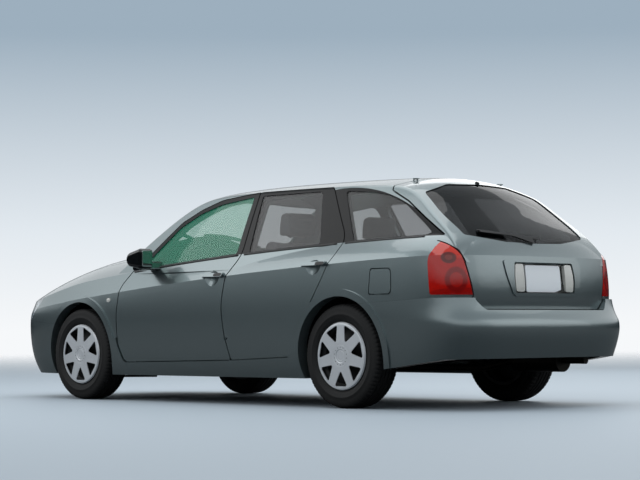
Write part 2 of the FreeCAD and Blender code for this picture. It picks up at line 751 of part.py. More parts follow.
def rim():
    """Pressed steel wheel: barrel with flanges, disc and bored hub boss, outer side towards +Y."""
    half = rim_width / 2
    r, s = rim_radius - seat_gap, rim_sheet
    well = r - 3 * s
    half += s + seat_gap
    d, boss, bore = hub_disc_offset, hub_boss_radius, hub_bore_radius + axle_fit
    top = r + flange_rise
    return revolved([(-half, top), (-half + s, top), (-half + s, r), (-half + 4 * s, r), (-half + 6 * s, well),
                     (half - 6 * s, well), (half - 4 * s, r), (half - s, r), (half - s, top), (half, top),
                     (half, r - s), (half - 4 * s, r - s), (half - 6 * s, well - s), (d - 2 * s, well - s),
                     (d, boss + 5 * s), (d + s, boss), (d + s, bore), (d - hub_boss_length, bore),
                     (d - hub_boss_length, boss), (d - s, boss), (d - 2 * s, boss + 5 * s),
                     (d - 4 * s, well - s), (-half + 6 * s, well - s), (-half + 4 * s, r - s), (-half, r - s)])


def cover():
    """Wheel cover: a domed disc with triangular openings between its broad spokes."""
    face = rim_width / 2 + rim_sheet + 2 * seat_gap + cover_dome
    t = cover_sheet
    bulge = cover_dome
    shape = revolved([(face - bulge, cover_radius), (face - bulge * 0.3, cover_radius - t),
                      (face - bulge * 0.2, cover_window_outer), (face, cover_window_inner),
                      (face, cover_cap_radius), (face - t * 0.6, cover_cap_radius - t), (face - t * 0.6, 0),
                      (face - 2 * t, 0), (face - 2 * t, cover_cap_radius), (face - t, cover_window_inner),
                      (face - bulge * 0.2 - t, cover_window_outer), (face - bulge, cover_window_outer + t)])
    pitch = 2 * math.pi / cover_spokes
    for i in range(cover_spokes):
        turn = (i + 1 / 2) * pitch
        spread = pitch * cover_window_spread_share
        points = []
        for radius, angle in ((cover_window_outer, -spread), (cover_window_outer, spread),
                              (cover_window_inner, 0.0)):
            points.append((radius * math.sin(turn + angle), radius * math.cos(turn + angle), soft / 5))
        hole = prism(points, "side", 0, far)
        shape = shape.cut(hole)
    return shape


def wheel_part(shape, x, side):
    """Copy of a tyre, rim or cover at a wheel's place, with the cover outwards."""
    shape = shape.copy()
    shape.translate(Vector(x, track / 2, hub_height))
    return shape if side > 0 else mirrored(shape)


def steer_axis():
    """Lower ball joint and upper strut bearing of the left front wheel."""
    low = Vector(front_axle_x, ball_y, ball_height)
    high = Vector(front_axle_x, strut_top_y, strut_top_height)
    return low, high


def knuckle():
    """Left steering knuckle with its spindle, strut and spring."""
    low, high = steer_axis()
    axis = (high - low).normalize()
    hub = Vector(front_axle_x, track / 2, hub_height)
    inner_y = track / 2 + hub_disc_offset - hub_boss_length - moving_gap
    spindle = cylinder_y(hub_bore_radius, hub.x, hub.z, inner_y - upright_thickness, hub.y + hub_disc_offset)
    plate = prism([(hub.x - upright_width, ball_height - ball_radius, soft),
                   (hub.x + upright_width, ball_height - ball_radius, soft),
                   (hub.x + strut_radius, clamp_height, tight), (hub.x - strut_radius, clamp_height, tight)],
                  "side", inner_y - upright_thickness, inner_y)
    steer_arm = box(hub.x - steer_arm_length, hub.x, inner_y - upright_thickness, inner_y,
                    hub_height - upright_width - upright_thickness, hub_height - upright_width)
    ball_arm = box(hub.x - ball_radius, hub.x + ball_radius, low.y, inner_y,
                   ball_height + ball_radius, ball_height + 2 * ball_radius)
    ball = Part.makeCylinder(ball_radius * ball_share, 3 * ball_radius, low - axis * ball_radius, axis)
    start = (clamp_height - 2 * strut_radius - ball_height) / axis.z
    length = (high - low).Length
    strut = Part.makeCylinder(strut_radius, length - start, low + axis * start, axis)
    clamp = box(hub.x - strut_radius, hub.x + strut_radius, low.y + axis.y * start, inner_y,
                clamp_height - 2 * strut_radius, clamp_height)
    body = plate.fuse([spindle, steer_arm, ball_arm, ball, strut, clamp])
    seat_at = length - spring_length - 3 * spring_wire
    for place in (seat_at, length - 2 * spring_wire):
        body = body.fuse(Part.makeCylinder(spring_radius + spring_wire, spring_wire, low + axis * place, axis))
    helix = Part.makeHelix(spring_length / spring_turns, spring_length, spring_radius)
    section = Part.Wire(Part.makeCircle(spring_wire / 2, Vector(spring_radius, 0, 0), Vector(0, 1, 0)))
    coil = Part.Wire(helix).makePipeShell([section], True, True)
    coil.Placement = FreeCAD.Placement(low + axis * (seat_at + spring_wire * 0.8),
                                       FreeCAD.Rotation(Vector(0, 0, 1), axis))
    return body.fuse(coil)


def arch_liner(x, radius, inner_y, strut=False):
    """Left wheelhouse: an arched sheet with its inner wall."""
    sheet = liner_sheet
    outer_y = half_width
    drum = cylinder_y(radius, x, hub_height, inner_y, outer_y)
    hollow = cylinder_y(radius - sheet, x, hub_height, inner_y + sheet, outer_y)
    shell = drum.cut(hollow)
    shell = shell.common(box(x - far, x + far, 0, far, hub_height + arm_depth / 2, far))
    shell = shell.cut(box(x - radius * 0.7, x + radius * 0.7, 0, inner_y + 2 * sheet, 0,
                          hub_height + 1.5 * arm_depth))
    if strut:
        low, high = steer_axis()
        axis = (high - low).normalize()
        tower_radius = spring_radius + 3 * spring_wire
        top = (high - low).Length + moving_gap
        tower = Part.makeCylinder(tower_radius + sheet, top + sheet, low, axis)
        well = Part.makeCylinder(tower_radius, top, low, axis)
        bearing = Part.makeCylinder(strut_radius - sheet, top, low + axis * (top - moving_gap + seat_gap), axis)
        above = drum.fuse(box(x - far, x + far, 0, far, 0, hub_height + arm_depth / 2))
        shell = shell.cut(well).fuse(tower.cut(well).cut(above)).fuse(
            bearing.common(tower))
    return shell.common(lower_body(side_wall + seat_gap))


def bent_bar(points, radius, bend):
    """Round bar along straight runs, with each corner turned as an arc of the bend radius."""
    edges = []
    start = points[0]
    for before, corner, after in zip(points, points[1:], points[2:]):
        come, go = (corner - before).normalize(), (after - corner).normalize()
        half_turn = math.acos(come.dot(go)) / 2
        reach = bend * math.tan(half_turn)
        inward = (go - come).normalize()
        middle = corner + inward * (bend / math.cos(half_turn) - bend)
        edges.append(Part.makeLine(start, corner - come * reach))
        start = corner + go * reach
        edges.append(Part.Arc(corner - come * reach, middle, start).toShape())
    edges.append(Part.makeLine(start, points[-1]))
    section = Part.Wire(Part.makeCircle(radius, points[0], points[1] - points[0]))
    return Part.Wire(edges).makePipeShell([section], True, True)


def front_suspension():
    """Subframe with a lower arm to each ball joint and the anti-roll bar."""
    low, _ = steer_axis()
    z = ball_height - 2 * ball_radius
    frame = box(front_axle_x - subframe_length, front_axle_x - subframe_length / 4, 0, subframe_half,
                ball_height - ball_radius, ball_height - ball_radius + subframe_depth)
    arm = prism([(front_axle_x - subframe_length, subframe_half - arm_width, tight),
                 (front_axle_x - subframe_length / 4, subframe_half - arm_width, tight),
                 (front_axle_x + ball_radius, ball_y + ball_radius, tight),
                 (front_axle_x - ball_radius, ball_y + ball_radius, tight)], "top", z, z + ball_radius - ball_sink)
    post = box(front_axle_x - subframe_length, front_axle_x - subframe_length / 4, subframe_half - arm_width,
               subframe_half, z, ball_height)
    legs = box(front_axle_x - subframe_length, front_axle_x - subframe_length + arm_width,
               subframe_half - arm_width, subframe_half, ball_height, floor_height + floor_sheet)
    return whole(frame.fuse([arm, post, legs]))


def rear_axle():
    """Torsion beam with trailing arms, spindles, springs and dampers."""
    hub = Vector(rear_axle_x, track / 2, hub_height)
    inner_y = track / 2 + hub_disc_offset - hub_boss_length - moving_gap
    spindle = cylinder_y(hub_bore_radius, hub.x, hub.z, arm_y, hub.y + hub_disc_offset)
    arm_front = Vector(rear_axle_x + trailing_length, arm_y, hub_height - arm_depth / 2)
    drop = arm_depth / 2
    arm = prism([(arm_front.x + drop, arm_front.z - drop, soft), (arm_front.x + drop, arm_front.z + drop, soft),
                 (hub.x - drop, hub.z + drop, soft), (hub.x - drop, hub.z - drop, soft)],
                "side", arm_y - arm_width / 2, arm_y + arm_width / 2)
    eye = cylinder_y(arm_depth * eye_share, arm_front.x, arm_front.z, arm_y - arm_width, arm_y + arm_width)
    bracket = box(arm_front.x, arm_front.x + drop, arm_y - arm_width, arm_y - arm_width / 2,
                  arm_front.z, seat_floor_height - floor_sheet)
    beam = cylinder_y(beam_radius, rear_axle_x + trailing_length * beam_share, beam_height, 0, arm_y)
    roof = hub.z + arch_radius + liner_gap - liner_sheet - damper_radius
    damper = Part.makeCylinder(damper_radius, roof - hub.z, Vector(hub.x - arm_width, arm_y, hub.z))
    plate = cylinder_y(hub_boss_radius * hub_plate_share, hub.x, hub.z, arm_y, inner_y)
    return whole(spindle.fuse([arm, eye, bracket, beam, damper, plate]))


def floor_pan():
    """Floor with its tunnel, seat step, raised load floor and jacking points."""
    inside = lower_body(side_wall + jamb_gap + jamb_wall + seat_gap)
    sheet = floor_sheet
    low = box(seat_step_x, bulkhead_x, 0, half_width, floor_height, floor_height + sheet)
    tunnel = box(seat_step_x, bulkhead_x, 0, tunnel_width / 2, floor_height, floor_height + tunnel_rise)
    hollow = box(-far, far, 0, tunnel_width / 2 - sheet, 0, floor_height + tunnel_rise - sheet)
    seat_step = box(seat_step_x - sheet, seat_step_x, 0, half_width, floor_height, seat_floor_height)
    seat_floor = box(load_step_x, seat_step_x, 0, half_width, seat_floor_height - sheet, seat_floor_height)
    load_step = box(load_step_x - sheet, load_step_x, 0, half_width, seat_floor_height - sheet, load_floor_height)
    load_floor = box(along(floor_tail_station), load_step_x, 0, half_width, load_floor_height - sheet,
                     load_floor_height)
    floor = low.fuse(tunnel).cut(hollow).fuse([seat_step.cut(hollow), seat_floor, load_step, load_floor])
    well = cylinder_y(arch_radius + liner_gap + seat_gap, rear_axle_x, hub_height,
                      rear_liner_inner_y - seat_gap, far)
    floor = floor.common(inside).cut(well)
    for station in jack_stations:
        x = along(station)
        pad = box(x - arm_width, x + arm_width, jack_y - arm_width, jack_y, sill_height + lip_rise, floor_height)
        floor = floor.fuse(pad)
    return whole(floor)


def bulkhead():
    """Left half of the wall between engine bay and cabin, with the tray under the cowl."""
    inside = skin(side_wall + jamb_gap + jamb_wall + seat_gap, cabin_wall + jamb_gap, bonnet_wall + seat_gap)
    wall = box(bulkhead_x, bulkhead_x + floor_sheet, 0, half_width, floor_height - floor_sheet, overall_height)
    tray = box(bulkhead_x, bulkhead_x + tray_length, 0, half_width, tray_height, tray_height + floor_sheet)
    tunnel = box(-far, far, 0, tunnel_width / 2 - floor_sheet, 0, floor_height + tunnel_rise - floor_sheet)
    return wall.fuse(tray).common(inside).cut(tunnel)


def dashboard():
    """Dashboard across the cabin, rounded towards the seats, with the steering column's boss."""
    inside = skin(side_wall + jamb_gap + jamb_wall + seat_gap, cabin_wall + jamb_gap + jamb_wall, bonnet_wall + jamb_gap)
    front = bulkhead_x - seat_gap
    top, low = up(dash_top_share), up(dash_low_share)
    section = prism([(front, low, tight), (front, top, tight), (front - dash_depth * 0.35, top + floor_sheet, wide),
                     (front - dash_depth, top - floor_sheet, soft), (front - dash_depth * 0.9, (top + low) / 2, soft),
                     (front - dash_depth * 0.55, low, soft)], "side", 0, half_width)
    return whole(section.common(inside)).cut(steering_column(seat_gap))


def steering_column(grow):
    """Steering column from behind the wheel's hub to inside the dashboard."""
    centre = Vector(bulkhead_x - wheel_reach, driver_y, up(steering_share))
    rake = math.radians(wheel_rake)
    return Part.makeCylinder(1.6 * wheel_ring_section + grow, column_length, centre,
                             Vector(math.cos(rake), 0, -math.sin(rake)))


def steering_wheel():
    """Steering wheel with its hub, three spokes and column."""
    centre = Vector(bulkhead_x - wheel_reach, driver_y, up(steering_share))
    axis = Vector(-math.cos(math.radians(wheel_rake)), 0, math.sin(math.radians(wheel_rake)))
    ring = Part.makeTorus(wheel_ring_radius, wheel_ring_section)
    hub = Part.makeCylinder(wheel_ring_radius * 0.38, 3 * wheel_ring_section, Vector(0, 0, -3 * wheel_ring_section))
    shape = ring.fuse(hub)
    for angle in (0, 180, 270):
        spoke = box(0, wheel_ring_radius, -wheel_ring_section, wheel_ring_section,
                    -wheel_ring_section * 1.5, -wheel_ring_section * 0.5)
        spoke.rotate(Vector(0, 0, 0), Vector(0, 0, 1), angle)
        shape = shape.fuse(spoke)
    shape.Placement = FreeCAD.Placement(centre, FreeCAD.Rotation(Vector(0, 0, 1), axis))
    return shape.fuse(steering_column(0.0))


def seat(x, y, low, width, cushion_height, back_height, head=True):
    """One seat: cushion, leaning back and headrest, standing on the floor at a hip place."""
    low += seat_gap
    cushion_top = low + cushion_height
    lean = math.tan(math.radians(seat_lean))
    depth = cushion_depth
    back = seat_back_depth
    outline = [(x + depth * 0.75, low, soft), (x + depth, cushion_top, soft), (x, cushion_top - floor_sheet, tight),
               (x - lean * back_height, cushion_top + back_height, soft),
               (x - lean * back_height - back, cushion_top + back_height - floor_sheet, soft),
               (x - back, low, soft)]
    shape = prism(outline, "side", y - width / 2, y + width / 2)
    edges = [e for e in shape.Edges if abs(abs(e.BoundBox.Center.y - y) - width / 2) < 1 and e.BoundBox.YLength < 1]
    try_radius = seat_edge
    shape = shape.makeFillet(try_radius, edges) if edges else shape
    if head:
        top = cushion_top + back_height
        hx = x - lean * back_height - back / 2
        rest = prism([(hx - back * 0.4, top + head_gap, tight), (hx + back * 0.4, top + head_gap, tight),
                      (hx + back * 0.3, top + head_gap + head_height, soft),
                      (hx - back * 0.5, top + head_gap + head_height, soft)], "side",
                     y - head_width / 2, y + head_width / 2)
        shape = shape.fuse(rest)
        for side in (-1, 1):
            post = Part.makeCylinder(head_post, head_gap + back, Vector(hx, y + side * head_width / 4, top - back / 2))
            shape = shape.fuse(post)
    return shape


def engine():
    """Engine and gearbox, as one block."""
    return box(front_axle_x - engine_length * 0.4, front_axle_x + engine_length * 0.6, -engine_width / 2,
               engine_width / 2, engine_bottom, engine_bottom + engine_height)


def exhaust():
    """Exhaust pipe with its silencers, along the tunnel and under the load floor."""
    z = floor_height
    rise = Vector(rear_axle_x - pipe_run, pipe_y, z + silencer_radius)
    points = [Vector(front_axle_x - subframe_length - pipe_radius, 0, z), Vector(seat_step_x, 0, z),
              Vector(rear_axle_x, pipe_y, z), rise, Vector(-half_length + pipe_end, pipe_y, rise.z)]
    pipe = bent_bar(points, pipe_radius, pipe_bend)
    front_box = Part.makeCylinder(silencer_radius, silencer_length,
                                  points[0] - Vector(silencer_length * 2, 0, 0), Vector(-1, 0, 0))
    rear_box = Part.makeCylinder(silencer_radius * 1.4, silencer_length, rise, Vector(-1, 0, 0))
    return pipe.fuse([front_box, rear_box])


def fuel_tank():
    """Fuel tank under the rear seat."""
    x = seat_step_x - tank_gap
    tank = box(x - tank_length, x, tunnel_width / 2, tank_half, sill_height + lip_rise,
               seat_floor_height - floor_sheet - seat_gap)
    return tank.makeFillet(tight, tank.Edges)


def mirror():
    """Left door mirror: rounded housing on its foot."""
    x, z = along(mirror_station), up(mirror_share)
    y = mirror_y
    outline = [(x - mirror_depth / 2, z - mirror_height / 2, soft / 2), (x + mirror_depth / 2, z - mirror_height * 0.3, soft),
               (x + mirror_depth / 2, z + mirror_height * 0.25, soft), (x - mirror_depth / 2, z + mirror_height / 2, soft / 2)]
    housing = prism(outline, "side", y, y + mirror_width)
    edges = [e for e in housing.Edges if e.BoundBox.YLength < 1]
    housing = housing.makeFillet(mirror_edge, edges)
    foot = prism([(x - mirror_depth * 0.3, z - mirror_height / 2, tight), (x + mirror_depth * 0.5, z - mirror_height / 2, tight),
                  (x + mirror_depth * 0.3, z - mirror_height * 0.1, tight), (x - mirror_depth * 0.2, z - mirror_height * 0.1, tight)],
                 "side", half_width * 0.7, y + mirror_width / 2)
    outside = box(-far, far, 0, far, 0, far).cut(skin(-seat_gap, -seat_gap, -seat_gap))
    return housing.fuse(foot).common(outside)


class Skins:
    """Left halves of the body at each depth that the panels are cut from."""

    def __init__(self):
        """Build the outer body, its inner face and the two faces of the door jambs."""
        self.outer = skin(0.0, 0.0, 0.0, rail_radius)
        self.inner = skin(side_wall, cabin_wall, bonnet_wall)
        self.jamb_out = skin(side_wall + jamb_gap, cabin_wall + 0.6 * jamb_gap, bonnet_wall + jamb_gap)
        self.jamb_in = skin(side_wall + jamb_gap + jamb_wall, cabin_wall + 0.6 * jamb_gap + jamb_wall,
                            bonnet_wall + jamb_gap + jamb_wall)
        shell = self.outer.cut(self.inner)
        for x in (front_axle_x, rear_axle_x):
            shell = shell.cut(arch_disc(x))
        self.flare = flare()
        shell = shell.fuse(self.flare)
        below_sill = box(-far, far, 0, far, -far, sill_height)
        self.shell = shell.cut(below_sill)
        self.panes = cabin_block(glass_depth).cut(cabin_block(glass_depth + glass_thickness))


def door_clear(rows, wheel_x, grow):
    """Region of a door, clear of the wheel arch beside it."""
    region = side_prism(rows, grow)
    return region.cut(cylinder_y(arch_radius + lip_width - grow + moving_gap / 2, wheel_x, hub_height, 0, far))


def frame_rebate(rows):
    """Region cut from the inner side of a door's window frame, so that it swings clear of its opening."""
    above = box(-far, far, 0, far, up(frame_base_share), far)
    step = inboard(glass_side_sheet(frame_step_depth)).common(above)
    step = step.cut(side_prism(rows, -moving_gap / 2 - frame_step))
    roof = box(-far, far, 0, far, up(frame_top_share), far)
    return step.fuse(inboard(glass_side_sheet(cabin_wall)).common(roof))


def jamb(skins):
    """Frame inboard of the doors, which they close against, with the post between them."""
    band = skins.inner.cut(skins.jamb_in)
    regions, inner_regions = [], []
    for rows, wheel_x in ((front_door_shares, front_axle_x), (rear_door_shares, rear_axle_x)):
        regions.append(side_prism(rows, moving_gap / 2))
        inner_regions.append(side_prism(rows, -jamb_seat))
    around = side_prism(front_door_shares, jamb_reach).fuse(side_prism(rear_door_shares, jamb_reach))
    ring = band.common(around)
    clear = skins.inner.cut(skins.jamb_out)
    for region, inner_region in zip(regions, inner_regions):
        ring = ring.cut(inner_region).cut(clear.common(region))
    for x in (front_axle_x, rear_axle_x):
        ring = ring.cut(cylinder_y(arch_radius + liner_gap + seat_gap, x, hub_height, 0, far))
    return ring.cut(box(-far, far, 0, far, -far, sill_height))


def tailgate_region(grow):
    """Region of the tailgate: its wrap round the rear pillars and the part between the lamps."""
    upper = prism(side_view(tailgate_side_shares), "side", 0, far, grow)
    lower = prism(back_view(tailgate_back_shares), "back", -far, along(tailgate_wrap_station), grow)
    return upper.fuse(lower)


def bumper_body(wall):
    """Left half of the tail with the rear bumper's bulge, as a closed solid."""
    return lower_body(wall, bumper_row_shares)


def rear_bumper_region(grow):
    """Region of the rear bumper, below its seam with the rear wings."""
    return prism(side_view(rear_bumper_shares), "side", 0, far, grow)


def front_bumper_region(grow):
    """Region of the front bumper with the nose panel between the headlamps."""
    side = prism(side_view(front_bumper_shares), "side", 0, far, grow)
    nose = box(along(nose_station) - grow, far, 0, across(nose_share) + grow, 0, up(nose_top_share) + grow)
    return side.fuse(nose)


def head_lamp_region(grow):
    """Region of the left headlamp."""
    front = prism(back_view(head_lamp_front_shares), "back", along(1), far, grow)
    return front.common(prism(side_view(head_lamp_side_shares), "side", 0, far, grow))


def tail_lamp_region(grow):
    """Region of the left tail lamp, outboard of the tailgate."""
    return prism(side_view(tail_lamp_shares), "side", 0, far, grow).cut(tailgate_region(-2 * grow + moving_gap))


def door_grip(door, front, rear, share, root, outer, back):
    """Door with a cup scooped in its skin, and the handle's bar over it."""
    z = up(share)
    middle = along((front + rear) / 2)
    skin_y = max(v.Point.y for v in root.common(Part.makeLine(Vector(middle, 0, z), Vector(middle, far, z))).Vertexes)
    scoop_radius = (cup_radius ** 2 + cup_depth ** 2) / (2 * cup_depth)
    scoop = Part.makeSphere(scoop_radius, Vector(middle, skin_y + scoop_radius - cup_depth, z))
    rows = [(along(front), z + grip_corner, grip_corner), (along(front), z - grip_corner, grip_corner),
            (along(rear), z - 1.2 * grip_corner, grip_corner), (along(rear), z + 1.2 * grip_corner, grip_corner)]
    outline = prism(rows, "side", 0, far)
    bar = outline.common(outer.cut(back))
    ends = box(along(rear), along(rear) + grip_end, 0, far, 0, far).fuse(
        box(along(front) - grip_end, along(front), 0, far, 0, far))
    feet = outline.common(ends).common(outer).cut(lower_body(grip_root))
    return door.cut(scoop).fuse([bar, feet])


def placed(origin, turn_axis=Vector(0, 0, 1), angle=0.0):
    """Placement from an origin and a turn."""
    return FreeCAD.Placement(origin, FreeCAD.Rotation(turn_axis, angle))


def door_hinges(panel, body, x, y, heights):
    """Door and body joined by hinges on one upright axis."""
    for height in heights:
        panel, body = fit_hinge(panel, body, placed(Vector(x, y, up(height))), hinge_reach, cut_overrun)
    return panel, body


def build():
    """All pieces of the car, by node name."""
    skins = Skins()
    gap, seam = moving_gap / 2, fixed_gap / 2
    nodes = {}

    # Doors with their windows
    doors = {}
    for name, rows, window, wheel_x in (
            ("front", front_door_shares, front_window_shares, front_axle_x),
            ("rear", rear_door_shares, rear_window_shares, rear_axle_x)):
        opening = side_prism(window)
        doors[name] = skins.shell.common(door_clear(rows, wheel_x, -gap)).cut(opening).cut(frame_rebate(rows))
        pane = skins.panes.common(side_prism(window, -seat_gap))
        nodes[f"{name}_door_glass_left"] = pane
        nodes[f"{name}_door_glass_right"] = mirrored(pane)

    # Body side: what the moving and bolted panels leave of the shell
    rest = skins.shell
    for rows, wheel_x in ((front_door_shares, front_axle_x), (rear_door_shares, rear_axle_x)):
        rest = rest.cut(door_clear(rows, wheel_x, gap))
    rest = rest.cut(side_prism(quarter_window_shares))
    rest = rest.cut(prism(plan_view(screen_shares), "top", up(cabin_base_share), far))
    bonnet_hole = prism(plan_view(bonnet_shares), "top", up(bonnet_low_share), far, gap)
    rest = rest.cut(bonnet_hole).cut(tailgate_region(swing_gap))
    rest = rest.cut(rear_bumper_region(seam)).cut(front_bumper_region(seam))
    rest = rest.cut(head_lamp_region(seam)).cut(tail_lamp_region(seam))
    roof_cut = prism(plan_view(roof_plan_shares), "top", up(roof_low_share), far)
    roof = rest.common(roof_cut)
    rest = rest.cut(prism(plan_view(roof_plan_shares), "top", up(roof_low_share), far, fixed_gap))
    fender_cut = prism(side_view(fender_shares), "side", 0, far)
    cowl_box = box(along(cowl_rear_station), along(cowl_front_station), 0, across(cowl_share),
                   up(bonnet_low_share), far)
    cowl = rest.common(cowl_box).cut(prism(plan_view(bonnet_shares), "top", up(bonnet_low_share), far, cowl_gap))
    rest = rest.cut(cowl_box)
    fender = rest.common(fender_cut).cut(side_prism(front_door_shares, swing_gap))
    doors["front"] = doors["front"].cut(side_prism(rear_door_shares, swing_gap))
    for share in hinge_shares:
        eye = hinge_barrel_radius + hinge_clear
        reach = hinge_barrel_length / 2 + hinge_gap + hinge_arm + hinge_clear
        doors["front"] = doors["front"].cut(box(-far, rear_hinge_x + eye, 0, far, up(share) - reach, up(share) + reach))
    side = rest.cut(prism(side_view(fender_shares), "side", 0, far, fixed_gap))
    side = side.fuse(jamb(skins))

    grip_outer, grip_back = lower_body(-grip_rise), lower_body(grip_thickness - grip_rise)
    for name, front, rear, share in grip_shares:
        doors[name] = door_grip(doors[name], front, rear, share, skins.outer, grip_outer, grip_back)

    doors["front"], side = door_hinges(doors["front"], side, front_hinge_x, front_hinge_y, hinge_shares)
    doors["rear"], side = door_hinges(doors["rear"], side, rear_hinge_x, rear_hinge_y, hinge_shares)
    for name, shape in doors.items():
        nodes[f"{name}_door_left"] = solid_parts(shape)
        nodes[f"{name}_door_right"] = mirrored(solid_parts(shape))

    # Fuel flap in the left side
    side_right = mirrored(side)
    cup = side_prism(flap_shares, gap).cut(lower_body(flap_pocket))
    side_left = side.cut(cup)
    flap = skins.outer.cut(lower_body(flap_skin)).common(side_prism(flap_shares, -gap))
    carrier, leaf, _ = hinge(flap_pocket - hinge_barrel_radius, cut_overrun, flap_hinge_share)
    height = up(flap_hinge_height_share)
    for part in (carrier, leaf):
        part.Placement = placed(Vector(flap_hinge_x, flap_hinge_y, height))
    side_left = side_left.fuse(carrier)
    pin = hinge_pin_radius * flap_hinge_share
    bridge = box(flap_hinge_x - flap_bridge, flap_hinge_x - flap_bridge / 2, flap_hinge_y - pin, far,
                 height - flap_bridge / 2, height + flap_bridge / 2)
    flap = flap.fuse([leaf, bridge.common(skins.outer)])
    nodes["fuel_flap"] = flap
    nodes["body_side_left"] = solid_parts(side_left)
    nodes["body_side_right"] = solid_parts(side_right)
    nodes["front_fender_left"] = solid_parts(fender)
    nodes["front_fender_right"] = mirrored(solid_parts(fender))
    nodes["cowl"] = whole(solid_parts(cowl))

    # Roof, bonnet, tailgate
    tailgate = skins.shell.common(tailgate_region(-gap)).cut(
        prism(back_view(tailgate_glass_shares), "back", -far, along(-0.1)))
    well = prism(back_view(well_shares), "back", -far, along(-0.5))
    well_floor = lower_body(well_depth)
    tailgate = tailgate.cut(well.cut(well_floor))
    bonnet = skins.shell.common(prism(plan_view(bonnet_shares), "top", up(bonnet_low_share), far, -gap))
    header = skins.jamb_out.cut(skins.jamb_in).common(box(along(header_rear_station), along(header_front_station), 0,
                                                           across(0.5), up(roof_low_share), far))
    link = skins.inner.cut(skins.jamb_in).common(box(along(-0.14), along(header_front_station), 0,
                                                     across(0.5), up(roof_low_share), far))
    roof = roof.cut(cylinder_y(roof_edge_reach, tailgate_hinge_x, tailgate_hinge_z, 0, far)).fuse([header, link])
    place = FreeCAD.Placement(Vector(tailgate_hinge_x, tailgate_hinge_y, tailgate_hinge_z),
                              FreeCAD.Rotation(Vector(1, 0, 0), 90))
    tailgate, roof = fit_hinge(tailgate, roof, place, tailgate_hinge_reach, cut_overrun, tailgate_hinge_share)
    nodes["roof_panel"] = whole(solid_parts(roof), False)
    nodes["tailgate"] = whole(solid_parts(tailgate))
    glass = skins.panes.common(prism(back_view(tailgate_glass_shares), "back", -far, along(-0.1), -seat_gap))
    nodes["tailgate_glass"] = whole(glass)
    place = FreeCAD.Placement(Vector(bonnet_hinge_x, bonnet_hinge_y, bonnet_hinge_z),
                              FreeCAD.Rotation(Vector(0, 0, 1), 180) * FreeCAD.Rotation(Vector(1, 0, 0), 90))
    bonnet, front_wall = fit_hinge(bonnet, bulkhead(), place, bonnet_hinge_reach, cut_overrun)
    nodes["bonnet"] = whole(solid_parts(bonnet))
    nodes["bulkhead"] = whole(front_wall)
    screen = skins.panes.common(prism(plan_view(screen_shares), "top", up(cabin_base_share), far, -seat_gap))
    nodes["windscreen"] = whole(screen)
    quarter = skins.panes.common(side_prism(quarter_window_shares, -seat_gap))
    nodes["quarter_glasses"] = pair(quarter)

    # Bumpers, lamps, grille and garnish
    front_bumper = skins.shell.common(front_bumper_region(-seam)).cut(bonnet_hole)
    bars_layer, frame_layer = lower_body(grille_set).cut(skins.inner), lower_body(lip_rise).cut(skins.inner)
    grilles = []
    for rows in (grille_shares, intake_shares):
        opening = prism(back_view(rows), "back", along(nose_station), far)
        front_bumper = front_bumper.cut(opening)
        window = prism(back_view(rows), "back", along(nose_station), far, -grille_bar)
        insert = prism(back_view(rows), "back", along(nose_station), far, -seat_gap).common(frame_layer).cut(window)
        low, high = (up(f(b for _, b, _ in rows)) for f in (min, max))
        for k in range(1, int((high - low) / grille_pitch) + 1):
            z = low + k * grille_pitch
            bar = box(along(nose_station), far, 0, half_width, z - grille_bar / 2, z + grille_bar / 2)
            insert = insert.fuse(bar.common(bars_layer).common(window))
        grilles.append(whole(insert))
    nodes["front_bumper"] = whole(solid_parts(front_bumper))
    nodes["grille"] = Part.makeCompound(grilles)
    bulge = bumper_body(0.0).cut(bumper_body(side_wall)).common(rear_bumper_region(-seam))
    bulge = bulge.cut(arch_disc(rear_axle_x))
    ring = skins.flare.common(rear_bumper_region(-seam))
    bulge = bulge.fuse(ring).common(prism(side_view(rear_hem_shares), "side", 0, far))
    nodes["rear_bumper"] = whole(solid_parts(bulge.cut(tailgate_region(gap))))
    lens_body = lower_body(0).cut(lower_body(lens_depth))
    tail_lamp = lens_body.common(tail_lamp_region(-seam)).cut(rear_bumper_region(seam))
    nodes["tail_lamps"] = pair(solid_parts(tail_lamp))
    lens_body = skins.outer.cut(skins.inner)
    nodes["headlamps"] = pair(solid_parts(lens_body.common(head_lamp_region(-seam)).cut(bonnet_hole)))
    garnish = lower_body(-garnish_rise).cut(lower_body(-seat_gap)).common(
        prism(back_view(garnish_shares), "back", -far, along(-0.5)))
    nodes["plate_garnish"] = whole(garnish.cut(well))
    lens_layer = lower_body(-garnish_rise / 2).cut(lower_body(well_depth - seat_gap))
    nodes["plate_lamps"] = pair(lens_layer.common(prism(back_view(plate_lamp_shares), "back", -far, along(-0.5))))
    plate_layer = lower_body(well_depth - plate_thickness).cut(lower_body(well_depth - seat_gap))
    plate = plate_layer.common(prism(back_view(number_plate_shares), "back", -far, along(-0.5)))
    nodes["number_plate"] = whole(plate)

    # Wipers
    layer = cabin_block(-blade_height).cut(cabin_block(-seat_gap))
    full = layer.fuse(mirrored(layer))
    places = [(across(a), up(b)) for a, b in wiper_rear_shares]
    nodes["rear_wiper"] = wiper(full, "back", *places)
    pieces = [wiper(full, "top", *[(along(a), across(b)) for a, b in row]) for row in wiper_front_shares]
    nodes["front_wipers"] = Part.makeCompound(pieces)
    return nodes


